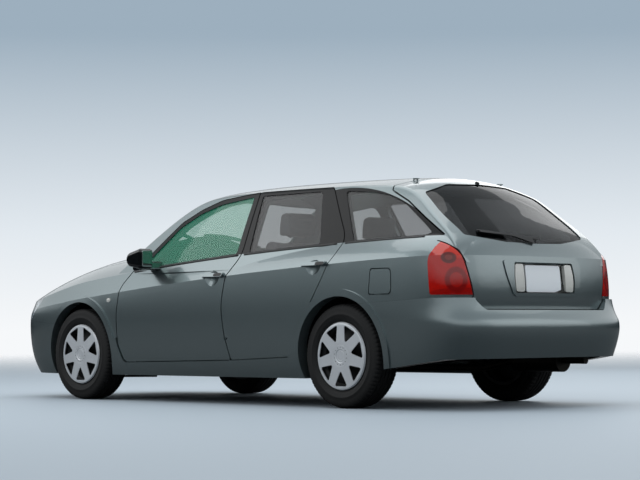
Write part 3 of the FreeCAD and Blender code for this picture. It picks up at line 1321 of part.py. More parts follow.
def running_gear():
    """Wheels, knuckles and suspension, by node name."""
    nodes = {}
    for kind, shape in (("tyre", tyre()), ("rim", rim()), ("wheel_cover", cover())):
        for end, x in (("front", front_axle_x), ("rear", rear_axle_x)):
            for side, sign in (("left", 1), ("right", -1)):
                nodes[f"{kind}_{end}_{side}"] = wheel_part(shape, x, sign)
    nodes["knuckle_left"] = knuckle()
    nodes["knuckle_right"] = mirrored(nodes["knuckle_left"])
    nodes["front_suspension"] = front_suspension()
    nodes["rear_axle"] = rear_axle()
    nodes["front_wheelhouses"] = pair(arch_liner(front_axle_x, arch_radius + liner_gap, liner_inner_y, True))
    nodes["rear_wheelhouses"] = pair(arch_liner(rear_axle_x, arch_radius + liner_gap, rear_liner_inner_y))
    return nodes


def cabin():
    """Floor, bulkhead and what stands in the cabin and under the bonnet, by node name."""
    front_hip, rear_hip = along(front_hip_station), along(rear_hip_station)
    floor_top = floor_height + floor_sheet
    seats = [seat(front_hip, side * seat_spread, floor_top, seat_width, cushion_height, seat_back_height)
             for side in (1, -1)]
    bench = seat(rear_hip, 0, seat_floor_height, bench_width, bench_cushion_height, bench_back_height, False)
    mirror_left = mirror()
    return {"floor_pan": floor_pan(), "dashboard": dashboard(),
            "steering_wheel": steering_wheel(), "front_seats": Part.makeCompound(seats),
            "rear_seat": bench, "engine": engine(),
            "exhaust": exhaust(), "fuel_tank": fuel_tank(), "mirror_left": mirror_left,
            "mirror_right": mirrored(mirror_left)}


os.makedirs("parts", exist_ok=True)
for make in (running_gear, cabin, build):
    for name, shape in make().items():
        shape.exportStep(f"parts/{name}.step")
        print(name, shape.isValid(), len(shape.Solids))
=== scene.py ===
"""Looks of the station wagon: its finishes, tyres, lamps, seats and small parts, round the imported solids."""
import logging
import math
from dataclasses import dataclass, field
from enum import Enum
from typing import Any, Callable, Iterable, Sequence

import bmesh
import bpy
from mathutils import Matrix, Vector
from mathutils.bvhtree import BVHTree


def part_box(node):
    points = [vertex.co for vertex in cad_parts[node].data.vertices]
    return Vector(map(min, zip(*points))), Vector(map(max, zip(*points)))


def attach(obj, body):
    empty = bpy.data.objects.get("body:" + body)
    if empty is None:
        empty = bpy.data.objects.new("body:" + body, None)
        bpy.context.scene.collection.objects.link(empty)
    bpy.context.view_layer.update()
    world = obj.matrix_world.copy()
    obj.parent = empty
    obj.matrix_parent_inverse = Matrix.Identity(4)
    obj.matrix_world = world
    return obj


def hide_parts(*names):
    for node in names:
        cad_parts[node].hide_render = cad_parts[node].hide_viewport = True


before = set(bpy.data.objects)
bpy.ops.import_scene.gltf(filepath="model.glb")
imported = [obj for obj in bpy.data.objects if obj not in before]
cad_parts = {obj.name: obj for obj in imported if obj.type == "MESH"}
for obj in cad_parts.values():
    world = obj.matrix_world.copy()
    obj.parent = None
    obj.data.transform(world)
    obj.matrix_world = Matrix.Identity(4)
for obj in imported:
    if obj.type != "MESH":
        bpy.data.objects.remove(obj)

log = logging.getLogger("station_wagon")

MM = 0.001
Point = tuple[float, float, float]
Cast = Callable[[float, float], tuple[Vector, Vector]]
# Numbers of a colour mix node's sockets: its two colours, and its result
BLEND_FIRST, BLEND_SECOND, BLEND_RESULT = 6, 7, 2
# Height of the line under the windows, as a + b x + c x² of the place along the car
BELT_LINE = (0.9707, -0.0690, -0.01345)


def linear(hex_colour: str, alpha: float = 1.0) -> tuple[float, float, float, float]:
    """Linear colour of an sRGB hex value.

    Args:
        hex_colour: the colour as "#rrggbb".
        alpha: the fourth value.

    Returns:
        Red, green, blue and alpha, linear.
    """
    parts = [int(hex_colour[i:i + 2], 16) / 255 for i in (1, 3, 5)]
    red, green, blue = (c / 12.92 if c <= 0.04045 else ((c + 0.055) / 1.055) ** 2.4 for c in parts)
    return red, green, blue, alpha


def add_node(tree: bpy.types.NodeTree, kind: str, values: dict[Any, Any] | None = None,
             links: dict[Any, Any] | None = None, **settings: Any) -> bpy.types.Node:
    """Add a node with its settings, socket values and incoming links.

    Args:
        tree: the node tree.
        kind: the node's type name.
        values: socket name or number, and its value.
        links: socket name or number, and the output socket that feeds it.
        settings: attributes of the node.

    Returns:
        The new node.
    """
    node = tree.nodes.new(kind)
    for name, value in settings.items():
        setattr(node, name, value)
    for key, value in (values or {}).items():
        node.inputs[key].default_value = value
    for key, output in (links or {}).items():
        tree.links.new(output, node.inputs[key])
    return node


def blend(tree: bpy.types.NodeTree, share: bpy.types.NodeSocket, first: Any,
          second: Sequence[float]) -> bpy.types.NodeSocket:
    """Colour that goes from one to another.

    Args:
        tree: the node tree.
        share: 0 for the first colour, 1 for the second.
        first: a colour, or the output socket of one.
        second: the other colour.

    Returns:
        The mixed colour's output.
    """
    linked = isinstance(first, bpy.types.NodeSocket)
    values = {BLEND_SECOND: second} if linked else {BLEND_FIRST: first, BLEND_SECOND: second}
    links = {0: share, BLEND_FIRST: first} if linked else {0: share}
    return add_node(tree, "ShaderNodeMix", values, links, data_type="RGBA").outputs[BLEND_RESULT]


class Pattern(Enum):
    """How a surface's fine relief and colour vary."""

    NONE = "none"
    FLAKE = "flake"
    GRAIN = "grain"
    WEAVE = "weave"
    CAST = "cast"


# How fine the noise of each pattern goes
NOISE_DETAIL = {Pattern.GRAIN: 2.0, Pattern.CAST: 6.0}
# How much the threads of a weave wander, and the turn of a wave that makes one thread
WEAVE_WANDER = 0.4
THREAD_TURN = 6.28
RELIEF_STRENGTH = 0.6
# Clouds per metre, and how fine they go, where a finish is cloudy between two colours
CLOUDS_PER_METRE = 3.0
CLOUD_DETAIL = 3.0


@dataclass(frozen=True)
class Finish:
    """A surface: its real material, and how it was made.

    The pattern's size is the real distance between its marks.
    """

    name: str
    colour: str
    roughness: float
    metallic: float = 0.0
    ior: float = 1.5
    coat: float = 0.0
    coat_roughness: float = 0.03
    transmission: float = 0.0
    alpha: float = 1.0
    sheen: float = 0.0
    sheen_roughness: float = 0.4
    specular: float = 0.5
    pattern: Pattern = Pattern.NONE
    pattern_mm: float = 1.0
    relief_mm: float = 0.0
    vary: float = 0.0
    second: str = ""

    def build(self) -> bpy.types.Material:
        """Make the material, or return it if it is made already."""
        made = bpy.data.materials.get(self.name)
        if made:
            return made
        material = bpy.data.materials.new(self.name)
        material.use_nodes = True
        tree = material.node_tree
        tree.nodes.clear()
        colour = linear(self.colour)
        shader = add_node(tree, "ShaderNodeBsdfPrincipled", {
            "Base Color": colour, "Roughness": self.roughness, "Metallic": self.metallic, "IOR": self.ior,
            "Coat Weight": self.coat, "Coat Roughness": self.coat_roughness,
            "Transmission Weight": self.transmission, "Alpha": self.alpha, "Sheen Weight": self.sheen,
            "Sheen Roughness": self.sheen_roughness, "Specular IOR Level": self.specular})
        if self.pattern is not Pattern.NONE:
            self.dress(tree, shader)
        add_node(tree, "ShaderNodeOutputMaterial", links={"Surface": shader.outputs[0]})
        return material

    def dress(self, tree: bpy.types.NodeTree, shader: bpy.types.Node) -> None:
        """Vary the colour and add the relief.

        Args:
            tree: the material's node tree.
            shader: its principled shader.
        """
        place = add_node(tree, "ShaderNodeTexCoord").outputs["Object"]
        scale = 1.0 / (self.pattern_mm * MM)
        if self.pattern is Pattern.WEAVE:
            threads = {"Scale": scale / THREAD_TURN, "Distortion": WEAVE_WANDER, "Detail": 0.0}
            waves = [add_node(tree, "ShaderNodeTexWave", threads, {"Vector": place}, bands_direction=way)
                     for way in ("X", "Z")]
            mark = add_node(tree, "ShaderNodeMath", links={i: wave.outputs["Fac"] for i, wave in enumerate(waves)},
                            operation="MULTIPLY").outputs[0]
        elif self.pattern is Pattern.FLAKE:
            mark = add_node(tree, "ShaderNodeTexVoronoi", {"Scale": scale}, {"Vector": place}).outputs["Color"]
        else:
            mark = add_node(tree, "ShaderNodeTexNoise", {"Scale": scale, "Detail": NOISE_DETAIL[self.pattern]},
                            {"Vector": place}).outputs["Fac"]
        base = self.base_colour(tree, place)
        shade = add_node(tree, "ShaderNodeMapRange", {"To Min": 1.0 - self.vary, "To Max": 1.0 + self.vary},
                         {"Value": mark})
        mixed = add_node(tree, "ShaderNodeVectorMath", links={0: base, 1: shade.outputs[0]}, operation="MULTIPLY")
        tree.links.new(mixed.outputs[0], shader.inputs["Base Color"])
        if self.relief_mm:
            bump = add_node(tree, "ShaderNodeBump", {"Strength": RELIEF_STRENGTH,
                                                     "Distance": self.relief_mm * MM}, {"Height": mark})
            tree.links.new(bump.outputs[0], shader.inputs["Normal"])

    def base_colour(self, tree: bpy.types.NodeTree, place: bpy.types.NodeSocket) -> bpy.types.NodeSocket:
        """Colour before its fine variation: plain, or cloudy between two colours.

        Args:
            tree: the material's node tree.
            place: the point on the piece.

        Returns:
            The colour's output.
        """
        first = linear(self.colour)
        if not self.second:
            plain = add_node(tree, "ShaderNodeRGB")
            plain.outputs[0].default_value = first
            return plain.outputs[0]
        cloud = add_node(tree, "ShaderNodeTexNoise", {"Scale": CLOUDS_PER_METRE, "Detail": CLOUD_DETAIL},
                         {"Vector": place})
        return blend(tree, cloud.outputs["Fac"], first, linear(self.second))


@dataclass(frozen=True)
class TwoTone(Finish):
    """Panel paint that turns to black film between two lines, each z = a + b x + c x²."""

    film: str = "#0a0b0c"
    film_roughness: float = 0.18
    line: Point = BELT_LINE
    edge: Point = (2.0, 0.0, 0.0)

    def dress(self, tree: bpy.types.NodeTree, shader: bpy.types.Node) -> None:
        """Add the flakes, then the film between the line and the upper edge.

        Args:
            tree: the material's node tree.
            shader: its principled shader.
        """
        super().dress(tree, shader)
        place = add_node(tree, "ShaderNodeTexCoord").outputs["Object"]
        axes = add_node(tree, "ShaderNodeSeparateXYZ", links={0: place}).outputs
        sides = [add_node(tree, "ShaderNodeMath", links={0: axes[2], 1: self.curve(tree, axes[0], terms)},
                          operation=way).outputs[0]
                 for terms, way in ((self.line, "GREATER_THAN"), (self.edge, "LESS_THAN"))]
        over = add_node(tree, "ShaderNodeMath", links={0: sides[0], 1: sides[1]}, operation="MULTIPLY")
        for socket, value in (("Base Color", linear(self.film)), ("Metallic", 0.0), ("Coat Weight", 0.0),
                              ("Roughness", self.film_roughness)):
            self.swap(tree, shader, socket, value, over.outputs[0])

    @staticmethod
    def curve(tree: bpy.types.NodeTree, x: bpy.types.NodeSocket, terms: Point) -> bpy.types.NodeSocket:
        """Height a + b x + c x² over a place along the car.

        Args:
            tree: the node tree.
            x: the place along the car.
            terms: a, b and c.

        Returns:
            The height's output.
        """
        level, slope, bend = terms
        run = add_node(tree, "ShaderNodeMath", {1: bend, 2: slope}, {0: x}, operation="MULTIPLY_ADD")
        return add_node(tree, "ShaderNodeMath", {2: level}, {0: x, 1: run.outputs[0]},
                        operation="MULTIPLY_ADD").outputs[0]

    def swap(self, tree: bpy.types.NodeTree, shader: bpy.types.Node, socket: str, value: Any,
             over: bpy.types.NodeSocket) -> None:
        """Change one socket's value where the film is.

        Args:
            tree: the node tree.
            shader: the shader whose socket changes.
            socket: the socket's name.
            value: the film's value.
            over: 1 where the film is.
        """
        target = shader.inputs[socket]
        if isinstance(value, tuple):
            changed = blend(tree, over, target.links[0].from_socket, value)
        else:
            changed = add_node(tree, "ShaderNodeMapRange", {"To Min": target.default_value, "To Max": value},
                               {"Value": over}).outputs[0]
        tree.links.new(changed, target)


@dataclass(frozen=True)
class LampLens(Finish):
    """Lamp lens whose colour carries painted light and shade of the reflectors behind it, over the lens's own red.

    A zone is a rounded patch of painted shade or painted highlight: its centre and half sizes in metres, without
    their signs, and its colour.
    """

    painted_reflector_zones: tuple[tuple[Point, Point, str], ...] = ()
    zone_core: float = 0.82

    def dress(self, tree: bpy.types.NodeTree, shader: bpy.types.Node) -> None:
        """Add the grain, then each zone of painted shade or highlight over the last, the same on both lamps.

        Args:
            tree: the material's node tree.
            shader: its principled shader.
        """
        super().dress(tree, shader)
        place = add_node(tree, "ShaderNodeTexCoord").outputs["Object"]
        folded = add_node(tree, "ShaderNodeVectorMath", links={0: place}, operation="ABSOLUTE").outputs[0]
        # Each zone blends a painted shade or painted highlight of a reflector into the base colour
        for centre, half, colour in self.painted_reflector_zones:
            away = add_node(tree, "ShaderNodeVectorMath", {1: centre}, {0: folded}, operation="SUBTRACT")
            share = add_node(tree, "ShaderNodeVectorMath", {1: half}, {0: away.outputs[0]}, operation="DIVIDE")
            reach = add_node(tree, "ShaderNodeVectorMath", links={0: share.outputs[0]}, operation="LENGTH")
            inside = add_node(tree, "ShaderNodeMapRange", {"From Min": 1.0, "From Max": self.zone_core},
                              {"Value": reach.outputs["Value"]}, interpolation_type="SMOOTHSTEP")
            target = shader.inputs["Base Color"]
            tree.links.new(blend(tree, inside.outputs[0], target.links[0].from_socket, linear(colour)), target)


# Metallic paint under clear lacquer: fine flakes, sharp reflections over a softer metal glow
LACQUERED = {"colour": "#7d898b", "roughness": 0.30, "metallic": 0.86, "coat": 1.0, "pattern": Pattern.FLAKE,
             "pattern_mm": 1.2, "vary": 0.08}
PAINT = Finish("paint_metallic_grey_green_sprayed", **LACQUERED)
# The same paint with black film on the window frames
PAINT_FRAMED = TwoTone("paint_metallic_with_black_film", specular=0.2, **LACQUERED)
# The same paint with black film round the quarter glass
PAINT_BANDED = TwoTone("paint_metallic_with_black_band", specular=0.2, edge=(0.8587, -0.9492, -0.42), **LACQUERED)
# Moulded polypropylene: black, with a fine grain that dulls it
BLACK_PLASTIC = Finish("polypropylene_moulded_black", "#101113", 0.45, pattern=Pattern.GRAIN, pattern_mm=1.5,
                       relief_mm=0.05, vary=0.15)
# Glossy black acrylic film and mouldings
BLACK_GLOSS = Finish("acrylic_moulded_black", "#08090a", 0.12, coat=0.5, pattern=Pattern.GRAIN, pattern_mm=30,
                     vary=0.1)
# Float glass tinted green: each face keeps a part of what is behind, under its own clear green cast
GLASS_GREEN = Finish("glass_float_green_tint", "#2fb088", 0.0, ior=1.45, alpha=0.28, coat=1.0,
                     pattern=Pattern.CAST, pattern_mm=900, vary=0.03)
# Privacy glass at the sides: dims what is behind, with a sharp reflection
GLASS_SIDE = Finish("glass_float_privacy_dyed", "#101415", 0.0, ior=1.45, alpha=0.34, coat=1.0,
                    pattern=Pattern.CAST, pattern_mm=900, vary=0.03)
# Privacy glass of the tailgate, with its dark film: nearly black
GLASS_DARK = Finish("glass_float_privacy_film", "#0a0c0d", 0.0, ior=1.45, alpha=0.74, specular=0.3,
                    pattern=Pattern.CAST, pattern_mm=900, vary=0.03)
# Vulcanised rubber: dull black, a little grey where it is worn
RUBBER = Finish("rubber_vulcanised", "#0c0c0d", 0.72, pattern=Pattern.CAST, pattern_mm=12, relief_mm=0.12,
                vary=0.2)
# Pressed steel wheel in black primer
RIM_STEEL = Finish("steel_pressed_black_enamel", "#1b1c1d", 0.5, metallic=0.2, pattern=Pattern.CAST, pattern_mm=8,
                   relief_mm=0.05, vary=0.12)
# Moulded nylon wheel cover in silver paint
COVER_SILVER = Finish("nylon_moulded_silver_paint", "#d8dadd", 0.33, metallic=0.45, coat=0.6, pattern=Pattern.FLAKE,
                      pattern_mm=0.9, vary=0.06)
# Steel forgings and castings, in black wax
STEEL_DARK = Finish("steel_forged_waxed", "#232426", 0.55, metallic=0.6, pattern=Pattern.CAST, pattern_mm=14,
                    relief_mm=0.3, vary=0.3, second="#2d2723")
# Sheet steel under sprayed sealer: thick, pebbled and dull
SEALER = Finish("steel_sheet_sprayed_sealer", "#101112", 0.8, pattern=Pattern.CAST, pattern_mm=5, relief_mm=0.4,
                vary=0.25)
# Aluminised steel tube, darkened by heat and road dirt
EXHAUST_STEEL = Finish("steel_aluminised_tube", "#3a3835", 0.45, metallic=0.9, pattern=Pattern.CAST, pattern_mm=25,
                       relief_mm=0.05, vary=0.15, second="#2e2a26")
# Sand-cast aluminium: pale grey with a rough skin
ALUMINIUM = Finish("aluminium_sand_cast", "#8a8c8d", 0.5, metallic=0.85, pattern=Pattern.CAST, pattern_mm=3,
                   relief_mm=0.25, vary=0.12)
# Slush-moulded dashboard skin: leather grain, dull
DASH_SKIN = Finish("pvc_slush_moulded_skin", "#24262a", 0.62, pattern=Pattern.GRAIN, pattern_mm=2.2, relief_mm=0.15,
                   vary=0.15)
# Woven polyester: pale grey threads, drawn coarser than the 0.5 mm ones so that they show
SEAT_CLOTH = Finish("polyester_woven_cloth", "#8d8f92", 0.9, sheen=0.4, pattern=Pattern.WEAVE, pattern_mm=3.0,
                    relief_mm=0.4, vary=0.22)
# Tail lens: red acrylic, whose zones are painted light and shade of the reflectors behind it: a painted lighter
# amber-red at the top, a painted darker band low down, a painted dark oval and a painted deep red round, each with
# a painted lighter middle
LENS_RED = LampLens("acrylic_moulded_red", "#c41408", 0.04, transmission=0.15, coat=0.5, pattern=Pattern.GRAIN,
                    pattern_mm=12, vary=0.06, painted_reflector_zones=(
                        ((2.15, 0.72, 1.00), (0.16, 0.20, 0.095), "#e02a0a"),
                        ((2.20, 0.66, 0.70), (0.20, 0.40, 0.040), "#a30f0a"),
                        ((2.18, 0.73, 0.785), (0.080, 0.085, 0.088), "#8e0d0b"),
                        ((2.18, 0.73, 0.785), (0.050, 0.050, 0.052), "#b3160e"),
                        ((2.15, 0.765, 0.920), (0.060, 0.060, 0.044), "#6a1710"),
                        ((2.15, 0.765, 0.920), (0.036, 0.036, 0.024), "#8a2a20")))
# Head lens and reflector: clear polycarbonate over vapour-coated aluminium
LENS_CLEAR = Finish("polycarbonate_moulded_clear", "#dfe6ea", 0.05, transmission=0.75, coat=1.0,
                    pattern=Pattern.CAST, pattern_mm=60, vary=0.04)
# Small clear lenses over a bright reflector
LENS_PALE = Finish("polycarbonate_moulded_over_reflector", "#e6e4dc", 0.06, transmission=0.3, coat=1.0,
                       pattern=Pattern.CAST, pattern_mm=20, vary=0.05)
# Silvered mirror glass: bright and perfectly smooth
MIRROR_GLASS = Finish("glass_silvered_mirror", "#a7b3b0", 0.02, metallic=1.0, pattern=Pattern.CAST, pattern_mm=300,
                      vary=0.02)
# Needled carpet: charcoal, with a deep soft pile
CARPET = Finish("polyamide_needled_carpet", "#232427", 0.95, sheen=0.3, pattern=Pattern.CAST, pattern_mm=4,
                relief_mm=0.8, vary=0.3)
# Headlining: pale grey knitted cloth over foam
HEADLINING = Finish("polyester_knitted_headlining", "#b4b5b2", 0.95, sheen=0.2, pattern=Pattern.GRAIN, pattern_mm=3,
                    relief_mm=0.2, vary=0.06)
# Blank number plate: white retroreflective sheet on pressed aluminium
PLATE_WHITE = Finish("aluminium_pressed_white_sheet", "#eceef0", 0.4, coat=0.3, pattern=Pattern.GRAIN,
                     pattern_mm=2.0, relief_mm=0.03, vary=0.03)


def register(obj: bpy.types.Object, finish: Finish, body: str) -> bpy.types.Object:
    """Give a piece its finish and the body that it moves with, and report it.

    Args:
        obj: the piece.
        finish: its finish.
        body: the body that it rides on.

    Returns:
        The same piece.
    """
    obj.data.materials.clear()
    obj.data.materials.append(finish.build())
    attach(obj, body)
    log.info("piece %s on %s: %d faces", obj.name, body, len(obj.data.polygons))
    return obj


def mesh_object(name: str, corners: Iterable[Sequence[float]], faces: Iterable[Sequence[int]],
                smooth: bool = True) -> bpy.types.Object:
    """New object from corners and faces.

    Args:
        name: the piece's name.
        corners: its points, in metres.
        faces: the numbers of each face's corners.
        smooth: whether it is shaded smooth.

    Returns:
        The new object.
    """
    mesh = bpy.data.meshes.new(name)
    mesh.from_pydata([tuple(c) for c in corners], [], [tuple(f) for f in faces])
    mesh.validate()
    obj = bpy.data.objects.new(name, mesh)
    bpy.context.scene.collection.objects.link(obj)
    bm = bmesh.new()
    bm.from_mesh(mesh)
    bmesh.ops.recalc_face_normals(bm, faces=bm.faces)
    bm.to_mesh(mesh)
    bm.free()
    if smooth:
        mesh.shade_smooth()
    return obj


def apply_modifiers(obj: bpy.types.Object) -> None:
    """Replace a piece's mesh by what its modifiers make of it.

    Args:
        obj: the piece.
    """
    graph = bpy.context.evaluated_depsgraph_get()
    graph.update()
    mesh = bpy.data.meshes.new_from_object(obj.evaluated_get(graph))
    obj.modifiers.clear()
    obj.data = mesh


def joined(name: str, pieces: Sequence[bpy.types.Object]) -> bpy.types.Object:
    """One object out of several.

    Args:
        name: its name.
        pieces: the objects that it takes up, which go.

    Returns:
        The new object.
    """
    bm = bmesh.new()
    for piece in pieces:
        piece.data.transform(piece.matrix_world)
        bm.from_mesh(piece.data)
    for piece in pieces:
        bpy.data.objects.remove(piece)
    mesh = bpy.data.meshes.new(name)
    bm.to_mesh(mesh)
    bm.free()
    mesh.shade_smooth()
    obj = bpy.data.objects.new(name, mesh)
    bpy.context.scene.collection.objects.link(obj)
    return obj


def sweep(name: str, path: Sequence[Vector], normals: Sequence[Vector], section: Sequence[tuple[float, float]],
          closed: bool = False) -> bpy.types.Object:
    """Bar of one section along a path that lies on a surface.

    Args:
        name: the piece's name.
        path: points on the surface.
        normals: the surface's normal at each point.
        section: the bar's outline, as (across the surface, off the surface), in metres.
        closed: whether the path is a loop.

    Returns:
        The new object.
    """
    count = len(section)
    corners = []
    for i, (point, normal) in enumerate(zip(path, normals)):
        before = path[i - 1] if i or closed else path[i]
        after = path[(i + 1) % len(path)] if i + 1 < len(path) or closed else path[i]
        side = normal.cross((after - before).normalized()).normalized()
        corners += [point + side * a + normal * b for a, b in section]
    rows = len(path) if closed else len(path) - 1
    faces = []
    for row in range(rows):
        here, there = row * count, (row + 1) % len(path) * count
        faces += [(here + k, here + (k + 1) % count, there + (k + 1) % count, there + k) for k in range(count)]
    if not closed:
        faces += [tuple(range(count)), tuple(range(rows * count, (rows + 1) * count))[::-1]]
    return mesh_object(name, corners, faces)


# How far from the car's middle the rays begin that find a panel
OUTSIDE = 4.0
# Outline of a low pad from its foot to its top: share of its size, and share of its rise
PAD_ROWS = ((1.0, -0.3), (1.0, 0.45), (0.94, 0.75), (0.8, 0.93), (0.5, 1.0))
PAD_STEPS = 32


class Surface:
    """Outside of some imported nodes, on which small parts are set."""

    def __init__(self, *nodes: str) -> None:
        """Gather the nodes' faces.

        Args:
            nodes: the nodes' names.
        """
        bm = bmesh.new()
        for node in nodes:
            bm.from_mesh(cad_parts[node].data)
        self.tree = BVHTree.FromBMesh(bm)
        bm.free()

    def from_side(self, x: float, z: float, side: int) -> tuple[Vector, Vector]:
        """Point and outward normal seen from the car's side, at a place along and a height."""
        return self.cast(Vector((x, OUTSIDE * side, z)), Vector((0, -side, 0)))

    def side(self, sign: int) -> Cast:
        """What casts onto the surface from the car's left (1) or right (-1)."""
        return lambda x, z: self.from_side(x, z, sign)

    def from_behind(self, y: float, z: float) -> tuple[Vector, Vector]:
        """Point and outward normal seen from behind."""
        return self.cast(Vector((-OUTSIDE, y, z)), Vector((1, 0, 0)))

    def from_above(self, x: float, y: float) -> tuple[Vector, Vector]:
        """Point and outward normal seen from above."""
        return self.cast(Vector((x, y, OUTSIDE)), Vector((0, 0, -1)))

    def cast(self, start: Vector, way: Vector) -> tuple[Vector, Vector]:
        """First point and outward normal that a ray meets.

        Args:
            start: where the ray begins.
            way: where it goes.

        Returns:
            The point and the normal.
        """
        place, normal, _, _ = self.tree.ray_cast(start, way)
        if place is None:
            raise ValueError(f"nothing to set a part on from {tuple(start)}")
        return place, -normal if normal.dot(way) > 0 else normal


def lozenge(name: str, cast: Cast, place: tuple[float, float], half: tuple[float, float], rise: float,
            roundness: float = 3.0) -> bpy.types.Object:
    """Low rounded pad on a surface.

    Args:
        name: the piece's name.
        cast: gives the surface's point and normal from two places.
        place: its middle.
        half: half its size each way.
        rise: how far its middle stands off the surface.
        roundness: 2 for an oval, more for fuller corners.

    Returns:
        The new object.
    """
    corners, faces = [], []
    for share, height in PAD_ROWS:
        for k in range(PAD_STEPS):
            turn = 2 * math.pi * k / PAD_STEPS
            across, up = (math.copysign(abs(v) ** (2 / roundness), v) for v in (math.cos(turn), math.sin(turn)))
            point, normal = cast(place[0] + half[0] * share * across, place[1] + half[1] * share * up)
            corners.append(point + normal * rise * height)
    for here in range(0, (len(PAD_ROWS) - 1) * PAD_STEPS, PAD_STEPS):
        there = here + PAD_STEPS
        faces += [(here + k, here + (k + 1) % PAD_STEPS, there + (k + 1) % PAD_STEPS, there + k)
                  for k in range(PAD_STEPS)]
    point, normal = cast(*place)
    corners.append(point + normal * rise)
    top = (len(PAD_ROWS) - 1) * PAD_STEPS
    faces += [(top + k, top + (k + 1) % PAD_STEPS, len(corners) - 1) for k in range(PAD_STEPS)]
    faces.append(tuple(range(PAD_STEPS))[::-1])
    return mesh_object(name, corners, faces)


@dataclass
class Studio:
    """Camera, floor, light and background."""

    camera_place: Point = (-10.005, 9.351, 0.493)
    azimuth: float = -43.754
    elevation: float = 2.617
    roll: float = -0.333
    focal_pixels: float = 1953.3
    picture_width: float = 640.0
    sensor_mm: float = 36.0
    floor_half: float = 60.0
    fade_start: float = 7.0
    fade_end: float = 30.0
    floor_colours: tuple[str, str] = ("#b2bfca", "#c0cbd4")
    floor_reflected: str = "#20282d"
    floor_roughness: float = 0.6
    floor_clouds: float = 0.05
    light_stops: tuple[tuple[float, str], ...] = (
        (0.0, "#1d2428"), (0.09, "#2c353a"), (0.20, "#e3e8eb"), (0.45, "#e9edf0"), (0.75, "#b9c0c5"))
    back_stops: tuple[tuple[float, str], ...] = ((0.0, "#f6f8fa"), (0.05, "#e2e9ef"), (0.15, "#9dafbe"))
    lamp_aim: Point = (0.0, 0.0, 0.5)
    lamp_table: tuple[tuple[str, Point, float, float], ...] = (
        ("lamp_top", (0.0, 0.0, 6.5), 7.0, 190.0), ("lamp_left", (5.5, 6.0, 5.2), 6.0, 130.0),
        ("lamp_rear", (-8.0, -5.5, 4.0), 6.0, 50.0), ("lamp_right", (3.0, -8.0, 5.0), 5.0, 90.0))

    def build(self) -> None:
        """Make the camera, the floor, the lamps and the world."""
        bpy.context.scene.view_settings.view_transform = "Standard"
        self.camera()
        self.floor()
        self.world()
        self.lamps()

    def camera(self) -> None:
        """Camera at the photograph's viewing angle."""
        azimuth, elevation, roll = (math.radians(a) for a in (self.azimuth, self.elevation, self.roll))
        ahead = Vector((math.cos(elevation) * math.cos(azimuth), math.cos(elevation) * math.sin(azimuth),
                        math.sin(elevation)))
        right = ahead.cross(Vector((0, 0, 1))).normalized()
        over = right.cross(ahead)
        turned = right * math.cos(roll) + over * math.sin(roll)
        upward = over * math.cos(roll) - right * math.sin(roll)
        data = bpy.data.cameras.new("camera")
        data.sensor_width = self.sensor_mm
        data.lens = self.focal_pixels / self.picture_width * self.sensor_mm
        data.clip_end = 500.0
        camera = bpy.data.objects.new("camera", data)
        bpy.context.scene.collection.objects.link(camera)
        rows = Matrix((turned, upward, -ahead)).transposed()
        camera.matrix_world = Matrix.Translation(Vector(self.camera_place)) @ rows.to_4x4()
        bpy.context.scene.camera = camera

    def floor(self) -> None:
        """Pale floor that keeps the car's shadow, fades out far away and is darker in the paint's reflections."""
        half = self.floor_half
        floor = mesh_object("floor", [(-half, -half, 0), (half, -half, 0), (half, half, 0), (-half, half, 0)],
                            [(0, 1, 2, 3)], smooth=False)
        material = bpy.data.materials.new("floor_painted_pale")
        material.use_nodes = True
        tree = material.node_tree
        tree.nodes.clear()
        path = add_node(tree, "ShaderNodeLightPath")
        place = add_node(tree, "ShaderNodeTexCoord").outputs["Object"]
        cloud = add_node(tree, "ShaderNodeTexNoise", {"Scale": self.floor_clouds, "Detail": 1.0},
                         {"Vector": place})
        pale = blend(tree, cloud.outputs["Fac"], *(linear(colour) for colour in self.floor_colours))
        seen = blend(tree, path.outputs["Is Glossy Ray"], pale, linear(self.floor_reflected))
        shader = add_node(tree, "ShaderNodeBsdfPrincipled", {"Roughness": self.floor_roughness},
                          {"Base Color": seen})
        away = add_node(tree, "ShaderNodeVectorMath", links={0: place}, operation="LENGTH")
        fade = add_node(tree, "ShaderNodeMapRange", {"From Min": self.fade_start, "From Max": self.fade_end},
                        {"Value": away.outputs["Value"]}, interpolation_type="SMOOTHSTEP")
        clear = add_node(tree, "ShaderNodeBsdfTransparent")
        faded = add_node(tree, "ShaderNodeMixShader", links={0: fade.outputs[0], 1: shader.outputs[0],
                                                             2: clear.outputs[0]})
        add_node(tree, "ShaderNodeOutputMaterial", links={"Surface": faded.outputs[0]})
        floor.data.materials.append(material)

    def world(self) -> None:
        """Soft light that is brightest overhead, over a pale background."""
        world = bpy.data.worlds.new("studio")
        bpy.context.scene.world = world
        world.use_nodes = True
        tree = world.node_tree
        tree.nodes.clear()
        way = add_node(tree, "ShaderNodeTexCoord").outputs["Generated"]
        height = add_node(tree, "ShaderNodeSeparateXYZ", links={0: way}).outputs[2]
        light = self.ramp(tree, height, self.light_stops)
        back = self.ramp(tree, height, self.back_stops)
        path = add_node(tree, "ShaderNodeLightPath")
        plain = add_node(tree, "ShaderNodeMath", links={0: path.outputs["Is Camera Ray"],
                                                        1: path.outputs["Is Transmission Ray"]},
                         operation="MAXIMUM")
        mix = add_node(tree, "ShaderNodeMix", links={0: plain.outputs[0], BLEND_FIRST: light, BLEND_SECOND: back},
                       data_type="RGBA")
        glow = add_node(tree, "ShaderNodeBackground", {"Strength": 1.0}, {"Color": mix.outputs[BLEND_RESULT]})
        add_node(tree, "ShaderNodeOutputWorld", links={"Surface": glow.outputs[0]})

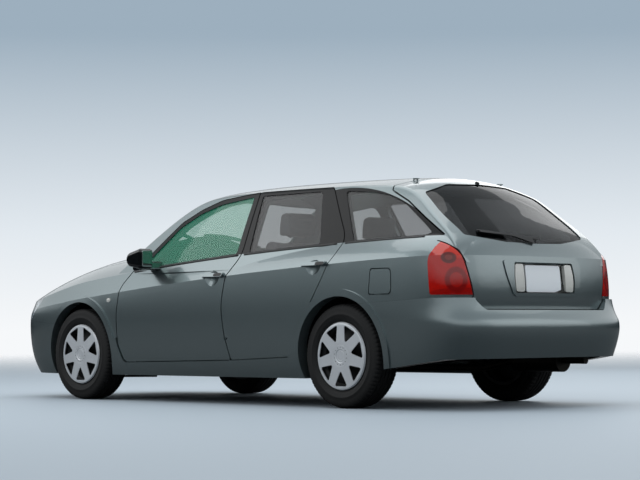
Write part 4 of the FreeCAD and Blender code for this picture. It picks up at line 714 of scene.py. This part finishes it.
    @staticmethod
    def ramp(tree: bpy.types.NodeTree, factor: bpy.types.NodeSocket,
             stops: Sequence[tuple[float, str]]) -> bpy.types.NodeSocket:
        """Colour that changes with a factor through some stops.

        Args:
            tree: the node tree.
            factor: what it changes with.
            stops: each stop's place and colour, from the lowest.

        Returns:
            The colour's output.
        """
        node = add_node(tree, "ShaderNodeValToRGB", links={0: factor})
        elements = node.color_ramp.elements
        while len(elements) < len(stops):
            elements.new(0.5)
        for element, (place, colour) in zip(elements, stops):
            element.position = place
            element.color = linear(colour)
        return node.outputs[0]

    def lamps(self) -> None:
        """Large soft lamps: overhead, at each side and behind."""
        for name, place, size, power in self.lamp_table:
            data = bpy.data.lights.new(name, "AREA")
            data.size = size
            data.energy = power
            lamp = bpy.data.objects.new(name, data)
            bpy.context.scene.collection.objects.link(lamp)
            lamp.location = place
            lamp.rotation_euler = (Vector(self.lamp_aim) - Vector(place)).to_track_quat("-Z", "Y").to_euler()


@dataclass
class Bodywork:
    """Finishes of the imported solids.

    What is lined wears a second finish on its faces that look one way, by more than a share of their normal.
    """

    framed: tuple[str, ...] = ("front_door_left", "front_door_right", "rear_door_left", "rear_door_right")
    finishes: dict[str, Finish] = field(default_factory=lambda: {
        "roof_panel": PAINT, "tailgate": PAINT, "bonnet": PAINT, "front_bumper": PAINT, "rear_bumper": PAINT,
        "fuel_flap": PAINT, "front_fender_left": PAINT, "front_fender_right": PAINT, "plate_garnish": PAINT,
        "body_side_left": PAINT_BANDED, "body_side_right": PAINT_BANDED,
        "cowl": BLACK_PLASTIC, "grille": BLACK_PLASTIC, "rear_wiper": BLACK_PLASTIC, "front_wipers": BLACK_PLASTIC,
        "mirror_left": BLACK_GLOSS, "mirror_right": BLACK_GLOSS, "tailgate_glass": GLASS_DARK,
        "windscreen": GLASS_GREEN, "front_door_glass_left": GLASS_GREEN, "front_door_glass_right": GLASS_GREEN,
        "quarter_glasses": GLASS_SIDE, "rear_door_glass_left": GLASS_SIDE, "rear_door_glass_right": GLASS_SIDE,
        "knuckle_left": STEEL_DARK, "knuckle_right": STEEL_DARK, "front_suspension": STEEL_DARK,
        "rear_axle": STEEL_DARK, "front_wheelhouses": SEALER, "rear_wheelhouses": SEALER, "floor_pan": SEALER,
        "bulkhead": SEALER, "fuel_tank": SEALER, "dashboard": DASH_SKIN, "steering_wheel": DASH_SKIN,
        "engine": ALUMINIUM, "exhaust": EXHAUST_STEEL, "tail_lamps": LENS_RED, "headlamps": LENS_CLEAR,
        "plate_lamps": LENS_PALE, "number_plate": PLATE_WHITE, "front_seats": SEAT_CLOTH, "rear_seat": SEAT_CLOTH})
    lined: tuple[tuple[str, Finish, Point, float], ...] = (
        ("floor_pan", CARPET, (0.0, 0.0, 1.0), 0.6), ("roof_panel", HEADLINING, (0.0, 0.0, -1.0), 0.3),
        ("tailgate", DASH_SKIN, (0.9, 0.0, -0.4), 0.5),
        ("mirror_left", MIRROR_GLASS, (-1.0, 0.0, 0.0), 0.9),
        ("mirror_right", MIRROR_GLASS, (-1.0, 0.0, 0.0), 0.9),
        ("front_door_left", DASH_SKIN, (0.0, -1.0, 0.0), 0.6),
        ("front_door_right", DASH_SKIN, (0.0, 1.0, 0.0), 0.6),
        ("rear_door_left", DASH_SKIN, (0.0, -1.0, 0.0), 0.6),
        ("rear_door_right", DASH_SKIN, (0.0, 1.0, 0.0), 0.6))

    def build(self) -> None:
        """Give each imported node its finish."""
        for node, finish in self.finishes.items():
            self.dress(node, finish)
        for node in self.framed:
            self.dress(node, PAINT_FRAMED)
        for end in ("front", "rear"):
            for side in ("left", "right"):
                self.dress(f"tyre_{end}_{side}", RUBBER)
                self.dress(f"rim_{end}_{side}", RIM_STEEL)
                self.dress(f"wheel_cover_{end}_{side}", COVER_SILVER)
        for node, finish, way, least in self.lined:
            self.line(node, finish, Vector(way), least)

    @staticmethod
    def line(node: str, finish: Finish, way: Vector, least: float) -> None:
        """Give the faces on one side of a node a second finish.

        Args:
            node: the node's name.
            finish: what those faces wear.
            way: the way that they look.
            least: least share of a face's normal along that way.
        """
        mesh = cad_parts[node].data
        mesh.materials.append(finish.build())
        way = way.normalized()
        for face in mesh.polygons:
            if face.normal.dot(way) > least:
                face.material_index = 1

    @staticmethod
    def dress(node: str, finish: Finish) -> None:
        """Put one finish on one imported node.

        Args:
            node: the node's name.
            finish: what it wears.
        """
        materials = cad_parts[node].data.materials
        materials.clear()
        materials.append(finish.build())
        log.info("node %s: %s", node, finish.name)


@dataclass
class Tyres:
    """Treaded tyres that stand for the plain packed ones."""

    radius: float = 0.326
    width: float = 0.205
    rim_radius: float = 0.203
    rim_width: float = 0.165
    wall: float = 0.011
    bead_rise: float = 0.0145
    bead_foot: tuple[float, float] = (0.002, 0.008)
    bead_share: float = 0.90
    flank: tuple[tuple[float, float], ...] = (
        (0.965, -0.022), (0.985, -0.010), (0.998, -0.008), (0.998, -0.002), (0.985, 0.0), (0.97, 0.020))
    shoulder: tuple[tuple[float, float, bool], ...] = (
        (0.93, 0.022, False), (0.87, 0.0105, True), (0.78, 0.0042, True), (0.66, 0.0015, True))
    crown_drop: float = 0.0006
    crown_bend: float = 0.35
    tread_depth: float = 0.007
    inner_depth: float = 0.06
    groove_places: tuple[float, ...] = (-0.046, -0.016, 0.016, 0.046)
    groove_half: float = 0.0045
    groove_floor: float = 0.6
    blocks: int = 72
    block_depth: float = 0.8
    steps_per_block: int = 4
    sharp_degrees: float = 32

    def build(self) -> None:
        """One tyre for each wheel."""
        for end in ("front", "rear"):
            for side in ("left", "right"):
                self.tyre(f"{end}_{side}")

    def outline(self) -> list[tuple[float, float, bool]]:
        """Outline from bead to bead over the tread, as (across, radius, in the shoulder blocks)."""
        half, mean, low = self.width / 2, (self.rim_radius + self.radius) / 2, self.rim_radius + self.bead_rise
        step, foot = self.bead_foot
        side = [(self.rim_width / 2 + step, low, False), (half * self.bead_share, low + foot, False)]
        side += [(half * share, mean + rise, False) for share, rise in self.flank]
        side += [(half * share, self.radius - drop, block) for share, drop, block in self.shoulder]
        crown = []
        narrow = self.groove_half * self.groove_floor
        for centre in reversed(self.groove_places):
            top = self.radius - self.crown_drop - self.crown_bend * centre * centre
            for across, deep in ((self.groove_half, 0), (narrow, 1), (-narrow, 1), (-self.groove_half, 0)):
                crown.append((centre + across, top - deep * self.tread_depth, False))
        return side + crown + [(-y, r, shoulder) for y, r, shoulder in reversed(side)]

    def tyre(self, name: str) -> None:
        """Make one tyre, named by its wheel's end and side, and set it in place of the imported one."""
        low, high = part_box(f"tyre_{name}")
        centre = (low + high) / 2
        outline = self.outline()
        inner = self.width / 2 - self.wall
        ring = outline + [(y, self.radius - self.inner_depth, False) for y in (-inner, inner)]
        steps = self.blocks * self.steps_per_block
        corners = []
        for i in range(steps):
            angle = 2 * math.pi * i / steps
            cut = i % self.steps_per_block == 0
            for y, r, shoulder in ring:
                depth = self.tread_depth * self.block_depth if cut and shoulder else 0.0
                corners.append((centre.x + (r - depth) * math.sin(angle), centre.y + y,
                                centre.z + (r - depth) * math.cos(angle)))
        count = len(ring)
        faces = [(i * count + k, i * count + (k + 1) % count, (i + 1) % steps * count + (k + 1) % count,
                  (i + 1) % steps * count + k) for i in range(steps) for k in range(count)]
        tyre = mesh_object(f"tread_{name}", corners, faces)
        tyre.data.set_sharp_from_angle(angle=math.radians(self.sharp_degrees))
        register(tyre, RUBBER, f"wheel_{name}")
        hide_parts(f"tyre_{name}")


@dataclass
class WheelCaps:
    """Centre cap and ring of blind holes on each wheel cover: each hole is a black disc of painted shade."""

    rings: tuple[tuple[float, float], ...] = ((0.067, 0.0012), (0.045, 0.0014), (0.030, 0.0018))
    ring_sink: float = 0.001
    ring_rises: tuple[float, float] = (0.0004, 0.0009)
    ring_flat: float = 0.4
    ring_steps: int = 64
    # Black discs of painted shade, one for each blind hole of the cover
    dots: int = 14
    dots_radius: float = 0.055
    dot_radius: float = 0.0028
    dot_rises: tuple[float, float] = (0.0003, 0.0006)
    dot_steps: int = 12

    def build(self) -> None:
        """One set for each wheel."""
        for end in ("front", "rear"):
            for side, sign in (("left", 1), ("right", -1)):
                self.cap(f"{end}_{side}", sign)

    def cap(self, name: str, sign: int) -> None:
        """Make one wheel's cap, rings and dots, the dots being painted shade of its blind holes.

        Args:
            name: the wheel's end and side.
            sign: 1 on the left, -1 on the right.
        """
        low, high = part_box(f"wheel_cover_{name}")
        centre = (low + high) / 2
        surface = Surface(f"wheel_cover_{name}")
        ring = joined(f"cover_rings_{name}", [self.ring(surface, centre, sign, radius, width)
                                              for radius, width in self.rings])
        register(ring, COVER_SILVER, f"wheel_{name}")
        # The holes are not cut: black discs paint their shade
        dots = joined(f"cover_painted_hole_shade_{name}", [self.dot(surface, centre, sign, 2 * math.pi * i / self.dots)
                                             for i in range(self.dots)])
        register(dots, BLACK_PLASTIC, f"wheel_{name}")

    def ring(self, surface: Surface, centre: Vector, sign: int, radius: float, width: float) -> bpy.types.Object:
        """Raised ring on the cover.

        Args:
            surface: the cover.
            centre: the wheel's middle.
            sign: 1 on the left, -1 on the right.
            radius: the ring's radius.
            width: half its width.

        Returns:
            The new object.
        """
        path, normals = [], []
        for i in range(self.ring_steps):
            angle = 2 * math.pi * i / self.ring_steps
            point, normal = surface.from_side(centre.x + radius * math.sin(angle),
                                              centre.z + radius * math.cos(angle), sign)
            path.append(point)
            normals.append(normal)
        low, high = self.ring_rises
        flat = width * self.ring_flat
        section = [(-width, -self.ring_sink), (-width, low), (-flat, high), (flat, high), (width, low),
                   (width, -self.ring_sink)]
        return sweep("ring", path, normals, section, closed=True)

    def dot(self, surface: Surface, centre: Vector, sign: int, angle: float) -> bpy.types.Object:
        """Black disc on the cover: painted shade where a blind hole is.

        Args:
            surface: the cover.
            centre: the wheel's middle.
            sign: 1 on the left, -1 on the right.
            angle: the hole's place on its ring.

        Returns:
            The new object.
        """
        point, normal = surface.from_side(centre.x + self.dots_radius * math.sin(angle),
                                          centre.z + self.dots_radius * math.cos(angle), sign)
        count = self.dot_steps
        turns = [2 * math.pi * k / count for k in range(count)]
        low, high = self.dot_rises
        rim = [point + Vector((self.dot_radius * math.sin(t), 0, self.dot_radius * math.cos(t))) + normal * low
               for t in turns]
        faces = [(k, (k + 1) % count, count) for k in range(count)]
        return mesh_object("dot", [*rim, point + normal * high], faces)


@dataclass
class Mouldings:
    """Black strips under the windows."""

    belt: Point = BELT_LINE
    width: float = 0.008
    below: float = 0.5
    rise: float = 0.004
    sink: float = 0.002
    edge_rise: float = 0.5
    flat: float = 0.6
    steps: int = 24
    spans: tuple[tuple[str, str, float, float], ...] = (
        ("front_door", "door_front", 0.80, -0.295), ("rear_door", "door_rear", -0.355, -1.20),
        ("body_side", "body", -1.275, -1.925))

    def height(self, x: float) -> float:
        """Height of the line under the windows."""
        level, slope, bend = self.belt
        return level + slope * x + bend * x * x

    def build(self) -> None:
        """Strips on both sides."""
        for side, sign in (("left", 1), ("right", -1)):
            for node, body, start, end in self.spans:
                surface = Surface(f"{node}_{side}")
                on = body if body == "body" else f"{body}_{side}"
                self.strip(f"belt_strip_{node}_{side}", surface, on, sign, start, end)

    def strip(self, name: str, surface: Surface, body: str, sign: int, start: float, end: float) -> None:
        """Strip on one panel.

        Args:
            name: the piece's name.
            surface: what it lies on.
            body: the body that it rides on.
            sign: 1 on the left, -1 on the right.
            start: where it begins along the car.
            end: where it ends.
        """
        path, normals = [], []
        for i in range(self.steps + 1):
            x = start + (end - start) * i / self.steps
            point, normal = surface.from_side(x, self.height(x) - self.below * self.width, sign)
            path.append(point)
            normals.append(normal)
        half, low, top = self.width, self.rise * self.edge_rise, self.width * self.flat
        section = [(-half, -self.sink), (-half, low), (-top, self.rise), (top, self.rise), (half, low),
                   (half, -self.sink)]
        register(sweep(name, path, normals, section), BLACK_PLASTIC, body)


@dataclass
class Seats:
    """Padded seats that stand for the plain packed ones."""

    voxel: float = 0.012
    pressure: float = 4.0
    frames: int = 20
    most: float = 0.022
    seam_half: float = 0.012
    seam_depth: float = 0.007
    seam_facing: float = 0.7
    front_seams: tuple[float, ...] = (0.26, 0.48)
    rear_seams: tuple[float, ...] = (-0.50, -0.24, 0.0, 0.24, 0.50)

    def build(self) -> None:
        """Both front seats and the rear bench."""
        for side, sign in (("left", 1), ("right", -1)):
            self.seat(f"front_seat_{side}", "front_seats", sign, tuple(sign * y for y in self.front_seams))
        self.seat("rear_bench", "rear_seat", 0, self.rear_seams)

    def seat(self, name: str, node: str, sign: int, seams: tuple[float, ...]) -> None:
        """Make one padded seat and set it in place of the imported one.

        Args:
            name: the piece's name.
            node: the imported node.
            sign: 1 for what lies to the left of the middle, -1 to the right, 0 for all of it.
            seams: how far from the car's middle its sewn channels run.
        """
        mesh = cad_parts[node].data.copy()
        if sign:
            bm = bmesh.new()
            bm.from_mesh(mesh)
            bmesh.ops.delete(bm, geom=[v for v in bm.verts if v.co.y * sign < 0], context="VERTS")
            bm.to_mesh(mesh)
            bm.free()
        obj = bpy.data.objects.new(name, mesh)
        bpy.context.scene.collection.objects.link(obj)
        even = obj.modifiers.new("even", "REMESH")
        even.mode = "VOXEL"
        even.voxel_size = self.voxel
        apply_modifiers(obj)
        self.fill(obj)
        self.sew(obj, seams)
        obj.data.shade_smooth()
        register(obj, SEAT_CLOTH, "body")
        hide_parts(node)

    def fill(self, obj: bpy.types.Object) -> None:
        """Swell a seat as its foam does under the cloth, by a limited amount.

        Args:
            obj: the seat.
        """
        start = [v.co.copy() for v in obj.data.vertices]
        cloth = obj.modifiers.new("fill", "CLOTH")
        cloth.settings.use_pressure = True
        cloth.settings.uniform_pressure_force = self.pressure
        cloth.settings.effector_weights.gravity = 0.0
        cloth.collision_settings.use_collision = False
        cloth.point_cache.frame_start = 1
        cloth.point_cache.frame_end = self.frames
        for step in range(1, self.frames + 1):
            bpy.context.scene.frame_set(step)
        apply_modifiers(obj)
        for vertex, before in zip(obj.data.vertices, start):
            moved = vertex.co - before
            if moved.length > self.most:
                vertex.co = before + moved.normalized() * self.most
        bpy.context.scene.frame_set(1)

    def sew(self, obj: bpy.types.Object, seams: tuple[float, ...]) -> None:
        """Pull the cloth in along the sewn channels.

        Args:
            obj: the seat.
            seams: how far from the car's middle they run.
        """
        for vertex in obj.data.vertices:
            for seam in seams:
                off = abs(vertex.co.y - seam) / self.seam_half
                if off < 1.0 and abs(vertex.normal.y) < self.seam_facing:
                    vertex.co -= vertex.normal * self.seam_depth * (1 - off * off)


@dataclass
class SmallParts:
    """Repeaters, locks, the washer nozzle and the lining of the plate's recess."""

    repeater: tuple[float, float] = (1.024, 0.707)
    repeater_half: tuple[float, float] = (0.021, 0.014)
    repeater_rise: float = 0.006
    locks: tuple[tuple[str, str, float, float], ...] = (
        ("front_door", "door_front", -0.176, 0.8595), ("rear_door", "door_rear", -1.158, 0.9065))
    lock_half: tuple[float, float] = (0.040, 0.0112)
    lock_rise: float = 0.0015
    lock_roundness: float = 4.0
    nozzle: tuple[float, float] = (-1.695, 0.0)
    nozzle_half: tuple[float, float] = (0.014, 0.011)
    nozzle_rise: float = 0.011
    nozzle_roundness: float = 2.4
    recess: tuple[float, float] = (0.0, 0.797)
    recess_half: tuple[float, float] = (0.272, 0.092)
    recess_rise: float = 0.0015
    recess_roundness: float = 14.0

    def build(self) -> None:
        """The small parts of both sides, then those of the tailgate."""
        for side, sign in (("left", 1), ("right", -1)):
            fender = Surface(f"front_fender_{side}").side(sign)
            repeater = lozenge(f"repeater_{side}", fender, self.repeater, self.repeater_half, self.repeater_rise)
            register(repeater, LENS_PALE, "body")
            for node, body, x, z in self.locks:
                door = Surface(f"{node}_{side}").side(sign)
                lock = lozenge(f"{node}_lock_{side}", door, (x, z), self.lock_half, self.lock_rise,
                               self.lock_roundness)
                register(lock, BLACK_PLASTIC, f"{body}_{side}")
        nozzle = lozenge("washer_nozzle", Surface("tailgate", "tailgate_glass").from_above, self.nozzle,
                         self.nozzle_half, self.nozzle_rise, self.nozzle_roundness)
        register(nozzle, BLACK_PLASTIC, "tailgate_lid")
        lining = lozenge("plate_recess_lining", Surface("tailgate").from_behind, self.recess, self.recess_half,
                         self.recess_rise, self.recess_roundness)
        register(lining, BLACK_GLOSS, "tailgate_lid")


def main() -> None:
    """Build the looks, in order."""
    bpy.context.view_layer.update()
    Studio().build()
    Bodywork().build()
    Tyres().build()
    WheelCaps().build()
    Mouldings().build()
    Seats().build()
    SmallParts().build()


if __name__ == "__main__":
    logging.basicConfig(level=logging.INFO, format="%(message)s")
    main()
